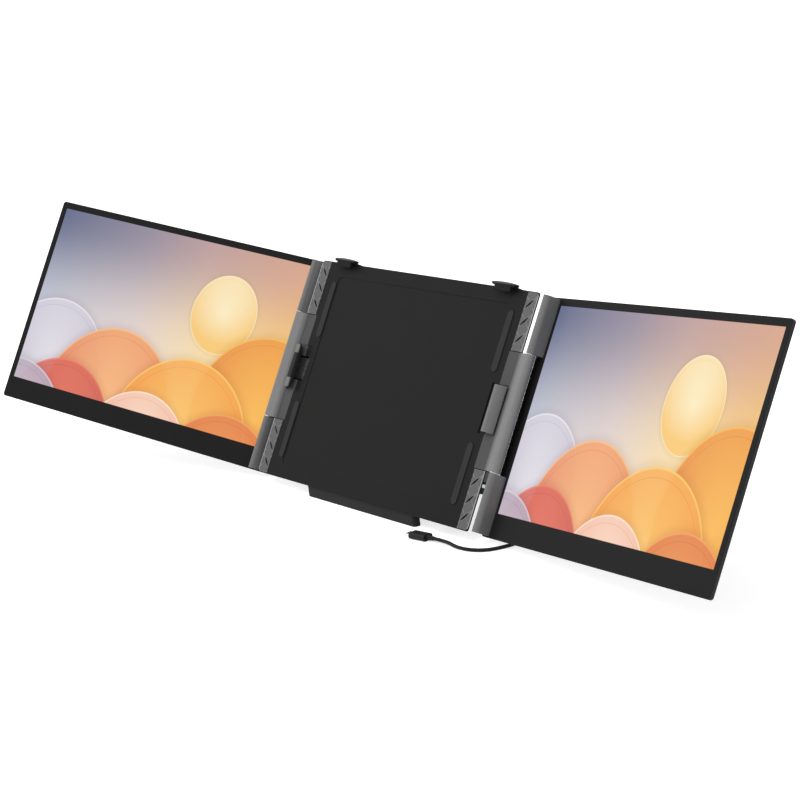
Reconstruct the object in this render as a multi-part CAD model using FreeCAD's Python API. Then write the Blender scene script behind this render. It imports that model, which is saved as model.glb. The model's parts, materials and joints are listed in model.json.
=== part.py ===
import FreeCAD, Part
import math
import os

# Laptop screen extender: a flat base that clips behind a laptop lid and carries
# a display on a hinge at each side, held up by a folding stand behind it.
#
# The base is drawn as a flat sheet: X to the right, Y up the sheet from its
# bottom edge, Z out of its face towards the user. The finished sheet is then
# leant back on its rubber foot. A screen is drawn from its hinge axis: X
# outwards, Y as on the sheet, Z towards the user, and is then turned and placed.
# All sizes are in millimetres and degrees.

os.makedirs("parts", exist_ok=True)

# Posture
LEAN = 30.0
RIGHT_TURN = 9.7
LEFT_TURN = 20.7

# Base sheet
BASE_DEPTH = 13.0
RIM = 2.0
WALL = 1.8
SIDE_SLOPE = 51.0
EDGE_SLOPE = 34.0
EDGE_THICKNESS = 0.6
END_INSET = 2.0
BASE_CORNER = 5.0
FACE_RECESS = 0.5
FACE_MARGIN_X = 37.0
FACE_MARGIN_Y = 14.0
SEAT_GAP = 0.05
CUT_OVER = 1.0

# Lid that the base is made for
LID_WIDTH = 331.0
LID_MARGIN = 10.8
LID_THICKNESS = 4.2
LID_PAD_THICKNESS = 0.8
LID_PAD_WIDTH = 8.0
LID_PAD_LENGTH = 58.0
LID_PAD_INSET = 32.0
LID_PAD_END = 20.0

# Quilted side strips
LATTICE_WIDTH = 15.6
LATTICE_DEPTH = 0.4
LATTICE_PROUD = 0.5
LATTICE_PITCH = 16.4
LATTICE_EDGE = 0.7
SLIT_LENGTH = 11.0
SLIT_WIDTH = 1.4
SLIT_DEPTH = 0.6
SLIT_ANGLE = 40.0
SLIT_FROM_INNER = 6.0
CREASE_LENGTH = 14.0
CREASE_WIDTH = 0.7
CREASE_DEPTH = 0.25

# Hinges
HINGE_STANDOFF = 10.0
RIGHT_AXIS_Z = -2.0
LEFT_AXIS_Z = 2.0
RIGHT_KNUCKLE_R = 4.7
LEFT_KNUCKLE_R = 3.4
KNUCKLE_LENGTH = 109.6
BRACKET_WIDTH = 18.3
BRACKET_FLAT = 14.1
PIN_R = 1.6
PIN_GRIP = 22.0
PIN_END = 6.0
RUNNING = 0.05
HINGE_GAP = 0.9
WASHER_THICKNESS = 0.45
WASHER_LIP = 0.35
BARREL_END = 1.5

# Screens
ACTIVE_WIDTH = 344.2
ACTIVE_HEIGHT = 193.6
BEZEL_INNER = 8.0
HOUSING_BACKSET = 8.0
BEZEL_OUTER = 6.0
BEZEL_TOP = 6.6
CHIN = 22.6
SCREEN_RISE = 0.2
PANEL_THICKNESS = 4.4
FOLD_GAP = 0.5
BEZEL_THICKNESS = 0.5
PANEL_WALL = 1.2
PANEL_CORNER = 3.0
BACK_ROUND = 1.6
CELL_THICKNESS = 1.2
CELL_OVERLAP = 1.5
LIGHT_GAP = 0.6
DRIVER_BOARD_LENGTH = 150.0
DRIVER_BOARD_MARGIN = 3.0
DRIVER_BOARD_THICKNESS = 0.8
DRIVER_CHIP_COUNT = 4
DRIVER_CHIP_SIZE = 9.0
DRIVER_CHIP_HEIGHT = 0.5

# Clamps at the sides of the lid
JAW_LENGTH = 44.0
TAB_REACH = 5.0
TAB_TOP = 7.4
JAW_DEPTH = 6.6
JAW_LIP = 1.3
JAW_CROWN = 0.6
JAW_BEVEL = 0.3
JAW_SHOULDER = 1.2
JAW_SHOULDER_RISE = 0.9
HEEL_HEIGHT = 0.4
STEM_THICKNESS = 3.2
STEM_LENGTH = 24.0
JAW_PAD_THICKNESS = 0.8
JAW_IN_TRAVEL = 16.0
JAW_OUT_TRAVEL = 2.0
JAW_CLEARANCE = 0.4
JAW_RECESS = 1.2
JAW_RECESS_MARGIN = 1.5
RAIL_LENGTH = 72.0
RAIL_WIDTH = 22.0
RAIL_THICKNESS = 1.5
RAIL_Z = -4.2
RAIL_CORNER = 1.5
RAIL_HOLES = 3
RAIL_HOLE_R = 4.4
RAIL_HOLE_PITCH = 18.0
RAIL_HOLE_FROM_END = 14.0
GUIDE_OVER = 2.0
GUIDE_WALL = 1.2
GUIDE_CLEARANCE = 0.3

# Clips over the top of the lid
CLIP_FROM_EDGE = 47.3
CLIP_WIDTH = 37.0
CLIP_CROWN = 3.5
CLIP_END_HEIGHT = 2.6
CLIP_TUCK = 3.0
CLIP_BACK = 1.4
CLIP_ROUND = 2.2
CLIP_NECK = 1.2
CLIP_LIP_WIDTH = 24.0
CLIP_LIP_DROP = 5.0
CLIP_LIP_THICKNESS = 1.4
CLIP_LIP_CORNER = 0.4
CLIP_PAD_MARGIN = 1.0
CLIP_PAD_THICKNESS = 0.6
CLIP_TRAVEL = 12.0
CLIP_SEAT = 0.3
STRAP_WIDTH = 18.0
STRAP_THICKNESS = 1.4
STRAP_LENGTH = 38.0
STRAP_Z = -7.0
STRAP_SLOT_R = 2.0
STRAP_SLOT_FROM_END = 5.0
STRAP_SLOT_SPARE = 6.0
STRAP_POST_R = 1.6
STRAP_RAIL_DEPTH = 6.0
STRAP_MOUTH = 5.4

# Folding stand
STAND_WIDTH = 130.0
STAND_LENGTH = 140.0
STAND_THICKNESS = 2.4
STAND_CORNER = 10.0
STAND_PIVOT_Y = 148.0
STAND_BARREL_R = 1.5
STAND_PIN_R = 0.9
STAND_PIN_GRIP = 12.0
STAND_SIDE_GAP = 0.6
STAND_RECESS = 3.8
STAND_FOOT_R = 2.0
STAND_FOOT_LENGTH = 96.0
STAND_FOOT_PROUD = 0.6
STAND_SETBACK = 0.2
TRAY_WALL = 1.6
FINGER_WIDTH = 26.0
FINGER_R = 9.0

# Foot under the bottom edge
FOOT_LENGTH = 180.0
FOOT_FRONT = 2.5
FOOT_BACK = 12.0
FOOT_CENTRE_HEIGHT = 12.11
FOOT_ROUND = 3.5
SOLE_GROOVES = 3
SOLE_GROOVE_WIDTH = 1.2
SOLE_GROOVE_DEPTH = 0.6
SOLE_GROOVE_MARGIN = 8.0

# Electronics and sockets in the base
BOARD_FROM_EDGE = 13.3
BOARD_Y = 16.0
BOARD_WIDTH = 72.0
BOARD_HEIGHT = 54.0
BASE_BOARD_THICKNESS = 1.2
BASE_CHIP_SIZE = 9.0
BASE_CHIP_HEIGHT = 1.2
SOCKET_FROM_EDGE = 41.3
SOCKET_PITCH = 20.0
SOCKET_Y = 40.0
SOCKET_WIDTH = 9.0
SOCKET_HEIGHT = 3.3
SOCKET_WALL = 0.3
SOCKET_DEPTH = 7.4
SOCKET_MARGIN = 0.3
BLADE_WIDTH = 6.6
BLADE_THICKNESS = 0.7
BLADE_SETBACK = 1.0
POST_R = 2.5
CURVE_SPARE = 0.05

# Keys on the back of each screen
KEY_R = 2.6
KEY_PROUD = 0.2
KEY_EDGE = 0.15
KEY_FLANGE_R = 3.6
KEY_FLANGE_THICKNESS = 0.4
KEY_GAP = 0.3
KEY_Y = 13.0
KEY_SPACING = 12.0
KEY_FROM_OUTER = 24.0

# Screws
SCREW_HEAD_R = 2.0
SCREW_HEAD_HEIGHT = 0.7
SCREW_SHANK_R = 0.9
SCREW_LENGTH = 3.4
SCREW_TIP_GAP = 0.5
SCREW_BITE = 3.0
BOSS_R = 2.5
END_SCREW_FROM_CLIP = 29.0
SIDE_SCREW_FROM_EDGE = 21.3
END_SCREW_Y = 12.0
SIDE_SCREW_Y = 78.0
HINGE_SCREW_Y = 14.0
HINGE_SCREW_PITCH = 28.0

# Lead
CORD_R = 1.7
CORD_HEIGHT = 1.75
ARC_SHARE = 0.45
PLUG_WIDTH = 11.4
PLUG_THICKNESS = 6.2
PLUG_LENGTH = 20.0
PLUG_CORNER = 2.6
RELIEF_LENGTH = 8.0
RELIEF_R = 2.6
RELIEF_END_R = 1.9
PLUG_TONGUE_LENGTH = 6.4
PLUG_TONGUE_WALL = 0.35
PLUG_TONGUE_FLOOR = 0.6
PLUG_STANDOFF = 0.4
LOOSE_PLUG_HEIGHT = 3.15

# Worked out from the sizes above
BASE_WIDTH = LID_WIDTH + 2 * LID_MARGIN
BASE_HEIGHT = SCREEN_RISE + CHIN + ACTIVE_HEIGHT + BEZEL_TOP
HALF = BASE_WIDTH / 2
MIDDLE = BASE_HEIGHT / 2
AXIS_X = HALF + HINGE_STANDOFF
LID_SIDE = LID_WIDTH / 2
LID_FACE = LID_PAD_THICKNESS + LID_THICKNESS
RIGHT_DROP = TAB_TOP + FOLD_GAP - RIGHT_AXIS_Z
LEFT_DROP = TAB_TOP + PANEL_THICKNESS + 2 * FOLD_GAP - LEFT_AXIS_Z
KNUCKLE_FROM = MIDDLE - KNUCKLE_LENGTH / 2
KNUCKLE_TO = MIDDLE + KNUCKLE_LENGTH / 2
HOUSING_OUT = BEZEL_INNER + ACTIVE_WIDTH + BEZEL_OUTER
LIGHT_THICKNESS = PANEL_THICKNESS - BEZEL_THICKNESS - CELL_THICKNESS - PANEL_WALL - LIGHT_GAP
CLIP_X = HALF - CLIP_FROM_EDGE
BOARD_X = HALF - BOARD_FROM_EDGE - BOARD_WIDTH
SOCKET_XS = (HALF - SOCKET_FROM_EDGE - SOCKET_PITCH, HALF - SOCKET_FROM_EDGE)
END_SCREW_X = CLIP_X - END_SCREW_FROM_CLIP
SIDE_SCREW_X = HALF - SIDE_SCREW_FROM_EDGE
SINE = math.sin(math.radians(LEAN))
COSINE = math.cos(math.radians(LEAN))
SHEET_Y = -COSINE * (FOOT_FRONT + FOOT_BACK) / 2
HEEL_X = LID_SIDE + JAW_PAD_THICKNESS
STEM_OUT = HEEL_X + STEM_THICKNESS
SEAT_Y = BASE_HEIGHT + CLIP_SEAT
STAND_PIVOT_Z = -BASE_DEPTH + STAND_BARREL_R + STAND_SETBACK

V = FreeCAD.Vector
X_AXIS = V(1, 0, 0)
Y_AXIS = V(0, 1, 0)
Z_AXIS = V(0, 0, 1)
HERE = V(0, 0, 0)

SHEET = FreeCAD.Placement(V(0, SHEET_Y, FOOT_CENTRE_HEIGHT), FreeCAD.Rotation(X_AXIS, 90 - LEAN))


# Basic shapes
def block(x0, x1, y0, y1, z0, z1):
    """A box between two values on each axis."""
    return Part.makeBox(x1 - x0, y1 - y0, z1 - z0, V(x0, y0, z0))


def rounded_outline(x0, x1, y0, y1, z, r):
    """A closed outline in the XY plane with four round corners."""
    k = r * (1 - math.sqrt(0.5))
    edges = []
    corners = (
        (V(x1 - r, y0, z), V(x1 - k, y0 + k, z), V(x1, y0 + r, z)),
        (V(x1, y1 - r, z), V(x1 - k, y1 - k, z), V(x1 - r, y1, z)),
        (V(x0 + r, y1, z), V(x0 + k, y1 - k, z), V(x0, y1 - r, z)),
        (V(x0, y0 + r, z), V(x0 + k, y0 + k, z), V(x0 + r, y0, z)),
    )
    for i, (start, middle, end) in enumerate(corners):
        edges.append(Part.Arc(start, middle, end).toShape())
        edges.append(Part.LineSegment(end, corners[(i + 1) % 4][0]).toShape())
    return Part.Wire(edges)


def plate(x0, x1, y0, y1, z0, z1, r):
    """A flat plate with four round corners."""
    return Part.Face(rounded_outline(x0, x1, y0, y1, z0, r)).extrude(V(0, 0, z1 - z0))


def rod(r, start, direction, length):
    """A round rod from a point."""
    return Part.makeCylinder(r, length, start, direction)


def along_y(outline, y0, y1):
    """The solid that a face in the XZ plane sweeps from y0 to y1."""
    face = Part.Face(outline)
    face.translate(V(0, y0, 0))
    return face.extrude(V(0, y1 - y0, 0))


def polygon(points):
    """A closed outline through points."""
    return Part.makePolygon(list(points) + [points[0]])


def tangent_point(point, centre, r, side):
    """Where a line from a point touches a circle in the XZ plane; side is 1 or -1."""
    dx = centre.x - point.x
    dz = centre.z - point.z
    distance = math.hypot(dx, dz)
    angle = math.atan2(dz, dx) + side * math.asin(r / distance)
    reach = math.sqrt(distance ** 2 - r ** 2)
    return V(point.x + reach * math.cos(angle), 0, point.z + reach * math.sin(angle))


def softened(shape, r, chosen):
    """The shape with the edges that a test picks rounded."""
    edges = [edge for edge in shape.Edges if chosen(edge)]
    return shape.makeFillet(r, edges)


def union(shapes):
    """One solid from several that touch or overlap."""
    whole = shapes[0]
    for shape in shapes[1:]:
        whole = whole.fuse(shape)
    return whole.removeSplitter()


def mirrored(shape):
    """The same shape for the left side."""
    return shape.mirror(HERE, X_AXIS)


def handed(sign, shapes):
    """The shapes for one side: as drawn for 1, mirrored for -1."""
    return shapes if sign > 0 else [mirrored(shape) for shape in shapes]


def write(name, shapes, placement=None):
    """Write one node, as one solid or as a group of separate solids."""
    solids = []
    for shape in shapes:
        solids.extend(shape.Solids)
    group = solids[0] if len(solids) == 1 else Part.makeCompound(solids)
    if placement is not None:
        group = group.copy()
        group.Placement = placement.multiply(group.Placement)
    for solid in group.Solids:
        if not solid.isValid() or solid.Volume <= 0:
            print("check the solid of", name, solid.Volume)
    group.exportStep("parts/" + name + ".step")


# Base: front frame, back cover, strips and foot
def base_hull():
    """The outside of the whole base, thinned to an edge beside the barrels."""
    inset = (BASE_DEPTH - RIM) / math.tan(math.radians(SIDE_SLOPE))
    front = rounded_outline(-HALF, HALF, 0, BASE_HEIGHT, -RIM, BASE_CORNER)
    back = rounded_outline(
        -HALF + inset, HALF - inset, END_INSET, BASE_HEIGHT - END_INSET, -BASE_DEPTH, BASE_CORNER
    )
    return Part.makeLoft([front, back], True, True).cut(edge_reliefs(0))


def base_hollow():
    """The space inside the back cover."""
    slope = math.radians(SIDE_SLOPE)
    side = HALF - WALL / math.sin(slope)
    depth = BASE_DEPTH - WALL - RIM
    inset = depth / math.tan(slope)
    lean = END_INSET * depth / (BASE_DEPTH - RIM)
    front = rounded_outline(-side, side, WALL, BASE_HEIGHT - WALL, -RIM, BASE_CORNER - WALL)
    back = rounded_outline(
        -side + inset, side - inset, WALL + lean, BASE_HEIGHT - WALL - lean, -BASE_DEPTH + WALL,
        BASE_CORNER - WALL
    )
    return Part.makeLoft([front, back], True, True).cut(edge_reliefs(WALL))


def edge_reliefs(wall):
    """What is cut from the underside beside each barrel, so that the sheet ends in a thin edge.

    A wall's thickness moves the cut inwards, for the hollow behind it.
    """
    slope = math.tan(math.radians(EDGE_SLOPE))
    rise = wall / math.cos(math.radians(EDGE_SLOPE)) - EDGE_THICKNESS
    low = -BASE_DEPTH - CUT_OVER
    outline = polygon([
        V(HALF + CUT_OVER, 0, rise + CUT_OVER * slope),
        V(HALF + (low - rise) / slope, 0, low),
        V(HALF + CUT_OVER, 0, low),
    ])
    reliefs = [
        along_y(outline, -CUT_OVER, KNUCKLE_FROM + wall),
        along_y(outline, KNUCKLE_TO - wall, BASE_HEIGHT + CUT_OVER),
    ]
    return reliefs + [mirrored(relief) for relief in reliefs]


def jaw_opening():
    """The shallow bed and the slot that the right jaw runs in."""
    outer = STEM_OUT + JAW_OUT_TRAVEL + JAW_CLEARANCE
    bed_inner = LID_SIDE - JAW_IN_TRAVEL - JAW_RECESS_MARGIN
    half_bed = JAW_LENGTH / 2 + JAW_RECESS_MARGIN
    bed = block(bed_inner, outer, MIDDLE - half_bed, MIDDLE + half_bed, -JAW_RECESS, CUT_OVER)
    half_stem = STEM_LENGTH / 2 + JAW_CLEARANCE
    slot = block(HEEL_X - JAW_IN_TRAVEL - JAW_CLEARANCE, outer, MIDDLE - half_stem,
                 MIDDLE + half_stem, -RIM - CUT_OVER, CUT_OVER)
    return bed.fuse(slot)


def lattice_pocket(y0, y1, gap, low, high):
    """The room of one quilted strip at the right edge, with the sheet's corner, less a gap."""
    inner = HALF - LATTICE_EDGE - LATTICE_WIDTH
    edge = LATTICE_EDGE + gap
    room = plate(-HALF + edge, HALF - edge, edge, BASE_HEIGHT - edge, low, high, BASE_CORNER - edge)
    return room.common(block(inner + gap, HALF, y0 + gap, y1 - gap, low, high))


def lattice_spans():
    """Where the quilted strips lie along the sheet, below and above the hinge bracket."""
    return (
        (LATTICE_EDGE, KNUCKLE_FROM - LATTICE_EDGE),
        (KNUCKLE_TO + LATTICE_EDGE, BASE_HEIGHT - LATTICE_EDGE),
    )


def slit(centre_x, centre_y, length, width, depth, angle):
    """A slanted cut in the top of a strip, pointed at both ends and widest in the middle."""
    start = V(-length / 2, 0, LATTICE_PROUD - depth)
    end = V(length / 2, 0, LATTICE_PROUD - depth)
    above = V(0, width / 2, LATTICE_PROUD - depth)
    below = V(0, -width / 2, LATTICE_PROUD - depth)
    outline = Part.Wire([Part.Arc(start, above, end).toShape(), Part.Arc(end, below, start).toShape()])
    cutter = Part.Face(outline).extrude(V(0, 0, depth + CUT_OVER))
    cutter.rotate(HERE, Z_AXIS, angle)
    cutter.translate(V(centre_x, centre_y, 0))
    return cutter


def lattice_strips():
    """The quilted strips of the right edge: a row of deep slits, each crossed by a shallow crease."""
    inner = HALF - LATTICE_EDGE - LATTICE_WIDTH
    strips = []
    for y0, y1 in lattice_spans():
        strip = lattice_pocket(y0, y1, SEAT_GAP, -LATTICE_DEPTH, LATTICE_PROUD)
        count = int((y1 - y0) / LATTICE_PITCH)
        start = (y0 + y1 - (count - 1) * LATTICE_PITCH) / 2
        cutters = []
        for i in range(count):
            y = start + i * LATTICE_PITCH
            cutters.append(slit(inner + LATTICE_WIDTH / 2, y, CREASE_LENGTH, CREASE_WIDTH, CREASE_DEPTH,
                                -SLIT_ANGLE))
            cutters.append(slit(inner + SLIT_FROM_INNER, y, SLIT_LENGTH, SLIT_WIDTH, SLIT_DEPTH,
                                SLIT_ANGLE))
        strips.append(strip.cut(cutters))
    return strips


def front_frame():
    """The front sheet with its beds and openings, the screw bosses and the board's posts."""
    sheet = plate(-HALF, HALF, 0, BASE_HEIGHT, -RIM, 0, BASE_CORNER)
    face = plate(-HALF + FACE_MARGIN_X, HALF - FACE_MARGIN_X, FACE_MARGIN_Y,
                 BASE_HEIGHT - FACE_MARGIN_Y, -FACE_RECESS, CUT_OVER, BASE_CORNER)
    cutters = [face]
    bracket = block(HALF - BRACKET_WIDTH, HALF + CUT_OVER, KNUCKLE_FROM, KNUCKLE_TO,
                    -RIM - CUT_OVER, CUT_OVER)
    beds = [lattice_pocket(y0, y1, 0, -LATTICE_DEPTH, CUT_OVER) for y0, y1 in lattice_spans()]
    for cutter in [bracket, jaw_opening()] + beds:
        cutters.append(cutter)
        cutters.append(mirrored(cutter))
    sheet = sheet.cut(cutters + edge_reliefs(0))
    posts = []
    for x in (BOARD_X + 2 * POST_R, BOARD_X + BOARD_WIDTH - 2 * POST_R):
        for y in (BOARD_Y + 2 * POST_R, BOARD_Y + BOARD_HEIGHT - 2 * POST_R):
            posts.append(rod(POST_R, V(x, y, -RIM), -Z_AXIS, -RIM - board_top_z()))
    floor = -BASE_DEPTH + WALL
    depth = SCREW_LENGTH - WALL + SCREW_TIP_GAP
    for x, y in base_screw_places():
        boss = rod(BOSS_R, V(x, y, floor), Z_AXIS, -RIM - floor)
        posts.append(boss.cut(rod(SCREW_SHANK_R, V(x, y, floor), Z_AXIS, depth)))
    return union([sheet] + posts)


def board_top_z():
    """The face of the base's board that looks at the front sheet."""
    return -BASE_DEPTH + SOCKET_DEPTH + BASE_BOARD_THICKNESS


def stand_recess():
    """The recess in the back that the folded stand lies in, with its finger scoop."""
    half = STAND_WIDTH / 2 + STAND_SIDE_GAP
    top = STAND_PIVOT_Y + STAND_BARREL_R + STAND_SIDE_GAP
    bottom = STAND_PIVOT_Y - STAND_LENGTH - STAND_SIDE_GAP
    floor = -BASE_DEPTH + STAND_RECESS
    bed = block(-half, half, bottom, top, -BASE_DEPTH - CUT_OVER, floor)
    scoop = rod(FINGER_R, V(-FINGER_WIDTH / 2, bottom, floor - FINGER_R), X_AXIS, FINGER_WIDTH)
    return bed.fuse(scoop)


def back_cover():
    """The back shell: hollow, with the stand's tray, its pin holes and the socket holes."""
    half = STAND_WIDTH / 2 + STAND_SIDE_GAP + TRAY_WALL
    top = STAND_PIVOT_Y + STAND_BARREL_R + STAND_SIDE_GAP + TRAY_WALL
    tray = block(-half, half, END_INSET, top, -BASE_DEPTH, -BASE_DEPTH + STAND_RECESS + TRAY_WALL)
    shell = base_hull().cut(base_hollow())
    body = union([shell, tray.common(base_hull())])
    cutters = [stand_recess()]
    pin_length = 2 * half
    cutters.append(rod(STAND_PIN_R, V(-half, STAND_PIVOT_Y, STAND_PIVOT_Z), X_AXIS, pin_length))
    for x in SOCKET_XS:
        hole = plate(x - SOCKET_WIDTH / 2 - SOCKET_MARGIN, x + SOCKET_WIDTH / 2 + SOCKET_MARGIN,
                     SOCKET_Y - SOCKET_HEIGHT / 2 - SOCKET_MARGIN,
                     SOCKET_Y + SOCKET_HEIGHT / 2 + SOCKET_MARGIN,
                     -BASE_DEPTH - CUT_OVER, -BASE_DEPTH + WALL + CUT_OVER, SOCKET_HEIGHT / 2)
        cutters.append(hole)
    for x, y in base_screw_places():
        cutters.append(rod(SCREW_HEAD_R + SEAT_GAP, V(x, y, -BASE_DEPTH), Z_AXIS, SCREW_HEAD_HEIGHT))
        cutters.append(rod(SCREW_SHANK_R, V(x, y, -BASE_DEPTH), Z_AXIS, WALL))
    slot_half = STRAP_WIDTH / 2 + GUIDE_CLEARANCE
    for side in (-1, 1):
        x = side * CLIP_X
        mouth = block(x - slot_half, x + slot_half, BASE_HEIGHT - STRAP_MOUTH, BASE_HEIGHT + CUT_OVER,
                      STRAP_Z - GUIDE_CLEARANCE, STRAP_Z + STRAP_THICKNESS + GUIDE_CLEARANCE)
        cutters.append(mouth)
    return body.cut(cutters)


def base_screw_places():
    """The screws that hold the back cover, clear of the stand and the clamps."""
    places = []
    for x in (-1, 1):
        for y in (-1, 1):
            places.append((x * END_SCREW_X, MIDDLE + y * (MIDDLE - END_SCREW_Y)))
            places.append((x * SIDE_SCREW_X, MIDDLE + y * (MIDDLE - SIDE_SCREW_Y)))
    return places


def base_screws():
    """Flat-headed screws in the back cover."""
    screws = []
    for x, y in base_screw_places():
        head = rod(SCREW_HEAD_R, V(x, y, -BASE_DEPTH), Z_AXIS, SCREW_HEAD_HEIGHT)
        shank = rod(SCREW_SHANK_R - SEAT_GAP, V(x, y, -BASE_DEPTH), Z_AXIS, SCREW_LENGTH)
        screws.append(head.fuse(shank))
    return screws


def base_foot():
    """The rubber foot: it fills the wedge between the leaning bottom edge and the desk."""
    front = SHEET_Y + COSINE * FOOT_FRONT
    back = SHEET_Y + COSINE * FOOT_BACK
    half = FOOT_LENGTH / 2
    foot = plate(-half, half, front, back, 0, FOOT_CENTRE_HEIGHT + CUT_OVER, FOOT_ROUND)
    pitch = (back - front) / (SOLE_GROOVES + 1)
    grooves = []
    for i in range(SOLE_GROOVES):
        y = front + (i + 1) * pitch
        grooves.append(block(-half + SOLE_GROOVE_MARGIN, half - SOLE_GROOVE_MARGIN,
                             y - SOLE_GROOVE_WIDTH / 2, y + SOLE_GROOVE_WIDTH / 2, -CUT_OVER,
                             SOLE_GROOVE_DEPTH))
    hull = base_hull()
    hull.Placement = SHEET
    front_sheet = plate(-HALF, HALF, 0, BASE_HEIGHT, -RIM, 0, BASE_CORNER)
    front_sheet.Placement = SHEET
    foot = foot.cut([hull, front_sheet] + grooves)
    return max(foot.Solids, key=lambda solid: -solid.CenterOfMass.z)


def lid_pads():
    """Four soft strips that the lid's back rests on."""
    pads = []
    for side in (-1, 1):
        x = side * (HALF - LID_PAD_INSET)
        for y in (LID_PAD_END, BASE_HEIGHT - LID_PAD_END - LID_PAD_LENGTH):
            pads.append(plate(x - LID_PAD_WIDTH / 2, x + LID_PAD_WIDTH / 2, y, y + LID_PAD_LENGTH,
                              0, LID_PAD_THICKNESS, LID_PAD_WIDTH / 2 - CURVE_SPARE))
    return pads


# Hinge parts on the base
def hinge_bracket(axis_z, r):
    """The plate and middle knuckle that carry the right screen."""
    centre = V(AXIS_X, 0, axis_z)
    inner = HALF - BRACKET_WIDTH
    bend = V(inner + BRACKET_FLAT, 0, 0)
    root = V(HALF, 0, -RIM)
    upper = tangent_point(bend, centre, r, 1)
    lower = tangent_point(root, centre, r, -1)
    far = V(AXIS_X + r, 0, axis_z)
    edges = [
        Part.LineSegment(V(inner, 0, 0), bend).toShape(),
        Part.LineSegment(bend, upper).toShape(),
        Part.Arc(upper, far, lower).toShape(),
        Part.LineSegment(lower, root).toShape(),
        Part.LineSegment(root, V(inner, 0, -RIM)).toShape(),
        Part.LineSegment(V(inner, 0, -RIM), V(inner, 0, 0)).toShape(),
    ]
    solid = along_y(Part.Wire(edges), KNUCKLE_FROM, KNUCKLE_TO)
    bore = rod(PIN_R, V(AXIS_X, KNUCKLE_FROM, axis_z), Y_AXIS, KNUCKLE_LENGTH)
    return solid.cut([bore, jaw_opening()])


def hinge_pins(axis_z):
    """Two steel pins, pressed into the knuckle's ends, that the barrels turn on."""
    low = rod(PIN_R, V(AXIS_X, PIN_END, axis_z), Y_AXIS, KNUCKLE_FROM + PIN_GRIP - PIN_END)
    high_end = BASE_HEIGHT - PIN_END
    high = rod(PIN_R, V(AXIS_X, KNUCKLE_TO - PIN_GRIP, axis_z), Y_AXIS,
               high_end - KNUCKLE_TO + PIN_GRIP)
    return [low, high]


def hinge_washers(axis_z, r):
    """The spring washers between the knuckle and the barrels."""
    washers = []
    for y in (KNUCKLE_FROM - WASHER_THICKNESS, KNUCKLE_TO):
        start = V(AXIS_X, y, axis_z)
        disc = rod(r - WASHER_LIP, start, Y_AXIS, WASHER_THICKNESS)
        washers.append(disc.cut(rod(PIN_R, start, Y_AXIS, WASHER_THICKNESS)))
    return washers


# Clamps
def clamp_jaw():
    """The right jaw: a crowned hook over the lid's edge on a stem through the slot."""
    tab_inner = LID_SIDE - TAB_REACH
    outer = LID_SIDE + JAW_DEPTH
    under = LID_FACE + JAW_PAD_THICKNESS
    high = V(outer, 0, JAW_LIP + JAW_CROWN)
    crest = V(tab_inner + TAB_REACH / 2, 0, TAB_TOP)
    shoulder = V((outer + crest.x) / 2 + JAW_SHOULDER, 0, (TAB_TOP + high.z) / 2 + JAW_SHOULDER_RISE)
    outline = [V(HEEL_X, 0, under), V(tab_inner, 0, under), V(tab_inner, 0, TAB_TOP - JAW_BEVEL), crest]
    edges = [Part.LineSegment(a, b).toShape() for a, b in zip(outline, outline[1:])]
    edges.append(Part.Arc(crest, shoulder, high).toShape())
    outline = [high, V(outer, 0, JAW_LIP), V(HEEL_X, 0, JAW_LIP), V(HEEL_X, 0, under)]
    edges.extend(Part.LineSegment(a, b).toShape() for a, b in zip(outline, outline[1:]))
    hook = along_y(Part.Wire(edges), MIDDLE - JAW_LENGTH / 2, MIDDLE + JAW_LENGTH / 2)
    stem = block(HEEL_X, STEM_OUT, MIDDLE - STEM_LENGTH / 2, MIDDLE + STEM_LENGTH / 2,
                 RAIL_Z + RAIL_THICKNESS, JAW_LIP)
    heel = block(HEEL_X, STEM_OUT, MIDDLE - JAW_LENGTH / 2, MIDDLE + JAW_LENGTH / 2, HEEL_HEIGHT, JAW_LIP)
    return union([hook, stem, heel])


def jaw_pad():
    """The soft lining of the right jaw, along the lid's side and under the tab."""
    tab_inner = LID_SIDE - TAB_REACH
    under = LID_FACE + JAW_PAD_THICKNESS
    outline = polygon([
        V(tab_inner, 0, LID_FACE), V(LID_SIDE, 0, LID_FACE), V(LID_SIDE, 0, HEEL_HEIGHT),
        V(HEEL_X, 0, HEEL_HEIGHT), V(HEEL_X, 0, under), V(tab_inner, 0, under),
    ])
    return along_y(outline, MIDDLE - JAW_LENGTH / 2, MIDDLE + JAW_LENGTH / 2)


def clamp_rail():
    """The steel rail of the right jaw, with a row of holes."""
    inner = STEM_OUT - RAIL_LENGTH
    rail = plate(inner, STEM_OUT, MIDDLE - RAIL_WIDTH / 2, MIDDLE + RAIL_WIDTH / 2, RAIL_Z,
                 RAIL_Z + RAIL_THICKNESS, RAIL_CORNER)
    holes = []
    for i in range(RAIL_HOLES):
        start = V(inner + RAIL_HOLE_FROM_END + i * RAIL_HOLE_PITCH, MIDDLE, RAIL_Z)
        holes.append(rod(RAIL_HOLE_R, start, Z_AXIS, RAIL_THICKNESS))
    return rail.cut(holes)


def clamp_guide():
    """The channel that the right rail slides in, fixed behind the front sheet."""
    outer = LID_SIDE - JAW_IN_TRAVEL - JAW_RECESS_MARGIN
    inner = STEM_OUT - RAIL_LENGTH - JAW_IN_TRAVEL - GUIDE_OVER
    half = RAIL_WIDTH / 2 + GUIDE_CLEARANCE
    low = RAIL_Z - GUIDE_CLEARANCE
    body = block(inner, outer, MIDDLE - half - GUIDE_WALL, MIDDLE + half + GUIDE_WALL,
                 low - GUIDE_WALL, -RIM)
    hollow = block(inner - CUT_OVER, outer + CUT_OVER, MIDDLE - half, MIDDLE + half, low,
                   RAIL_Z + RAIL_THICKNESS + GUIDE_CLEARANCE)
    return body.cut(hollow)


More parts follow.
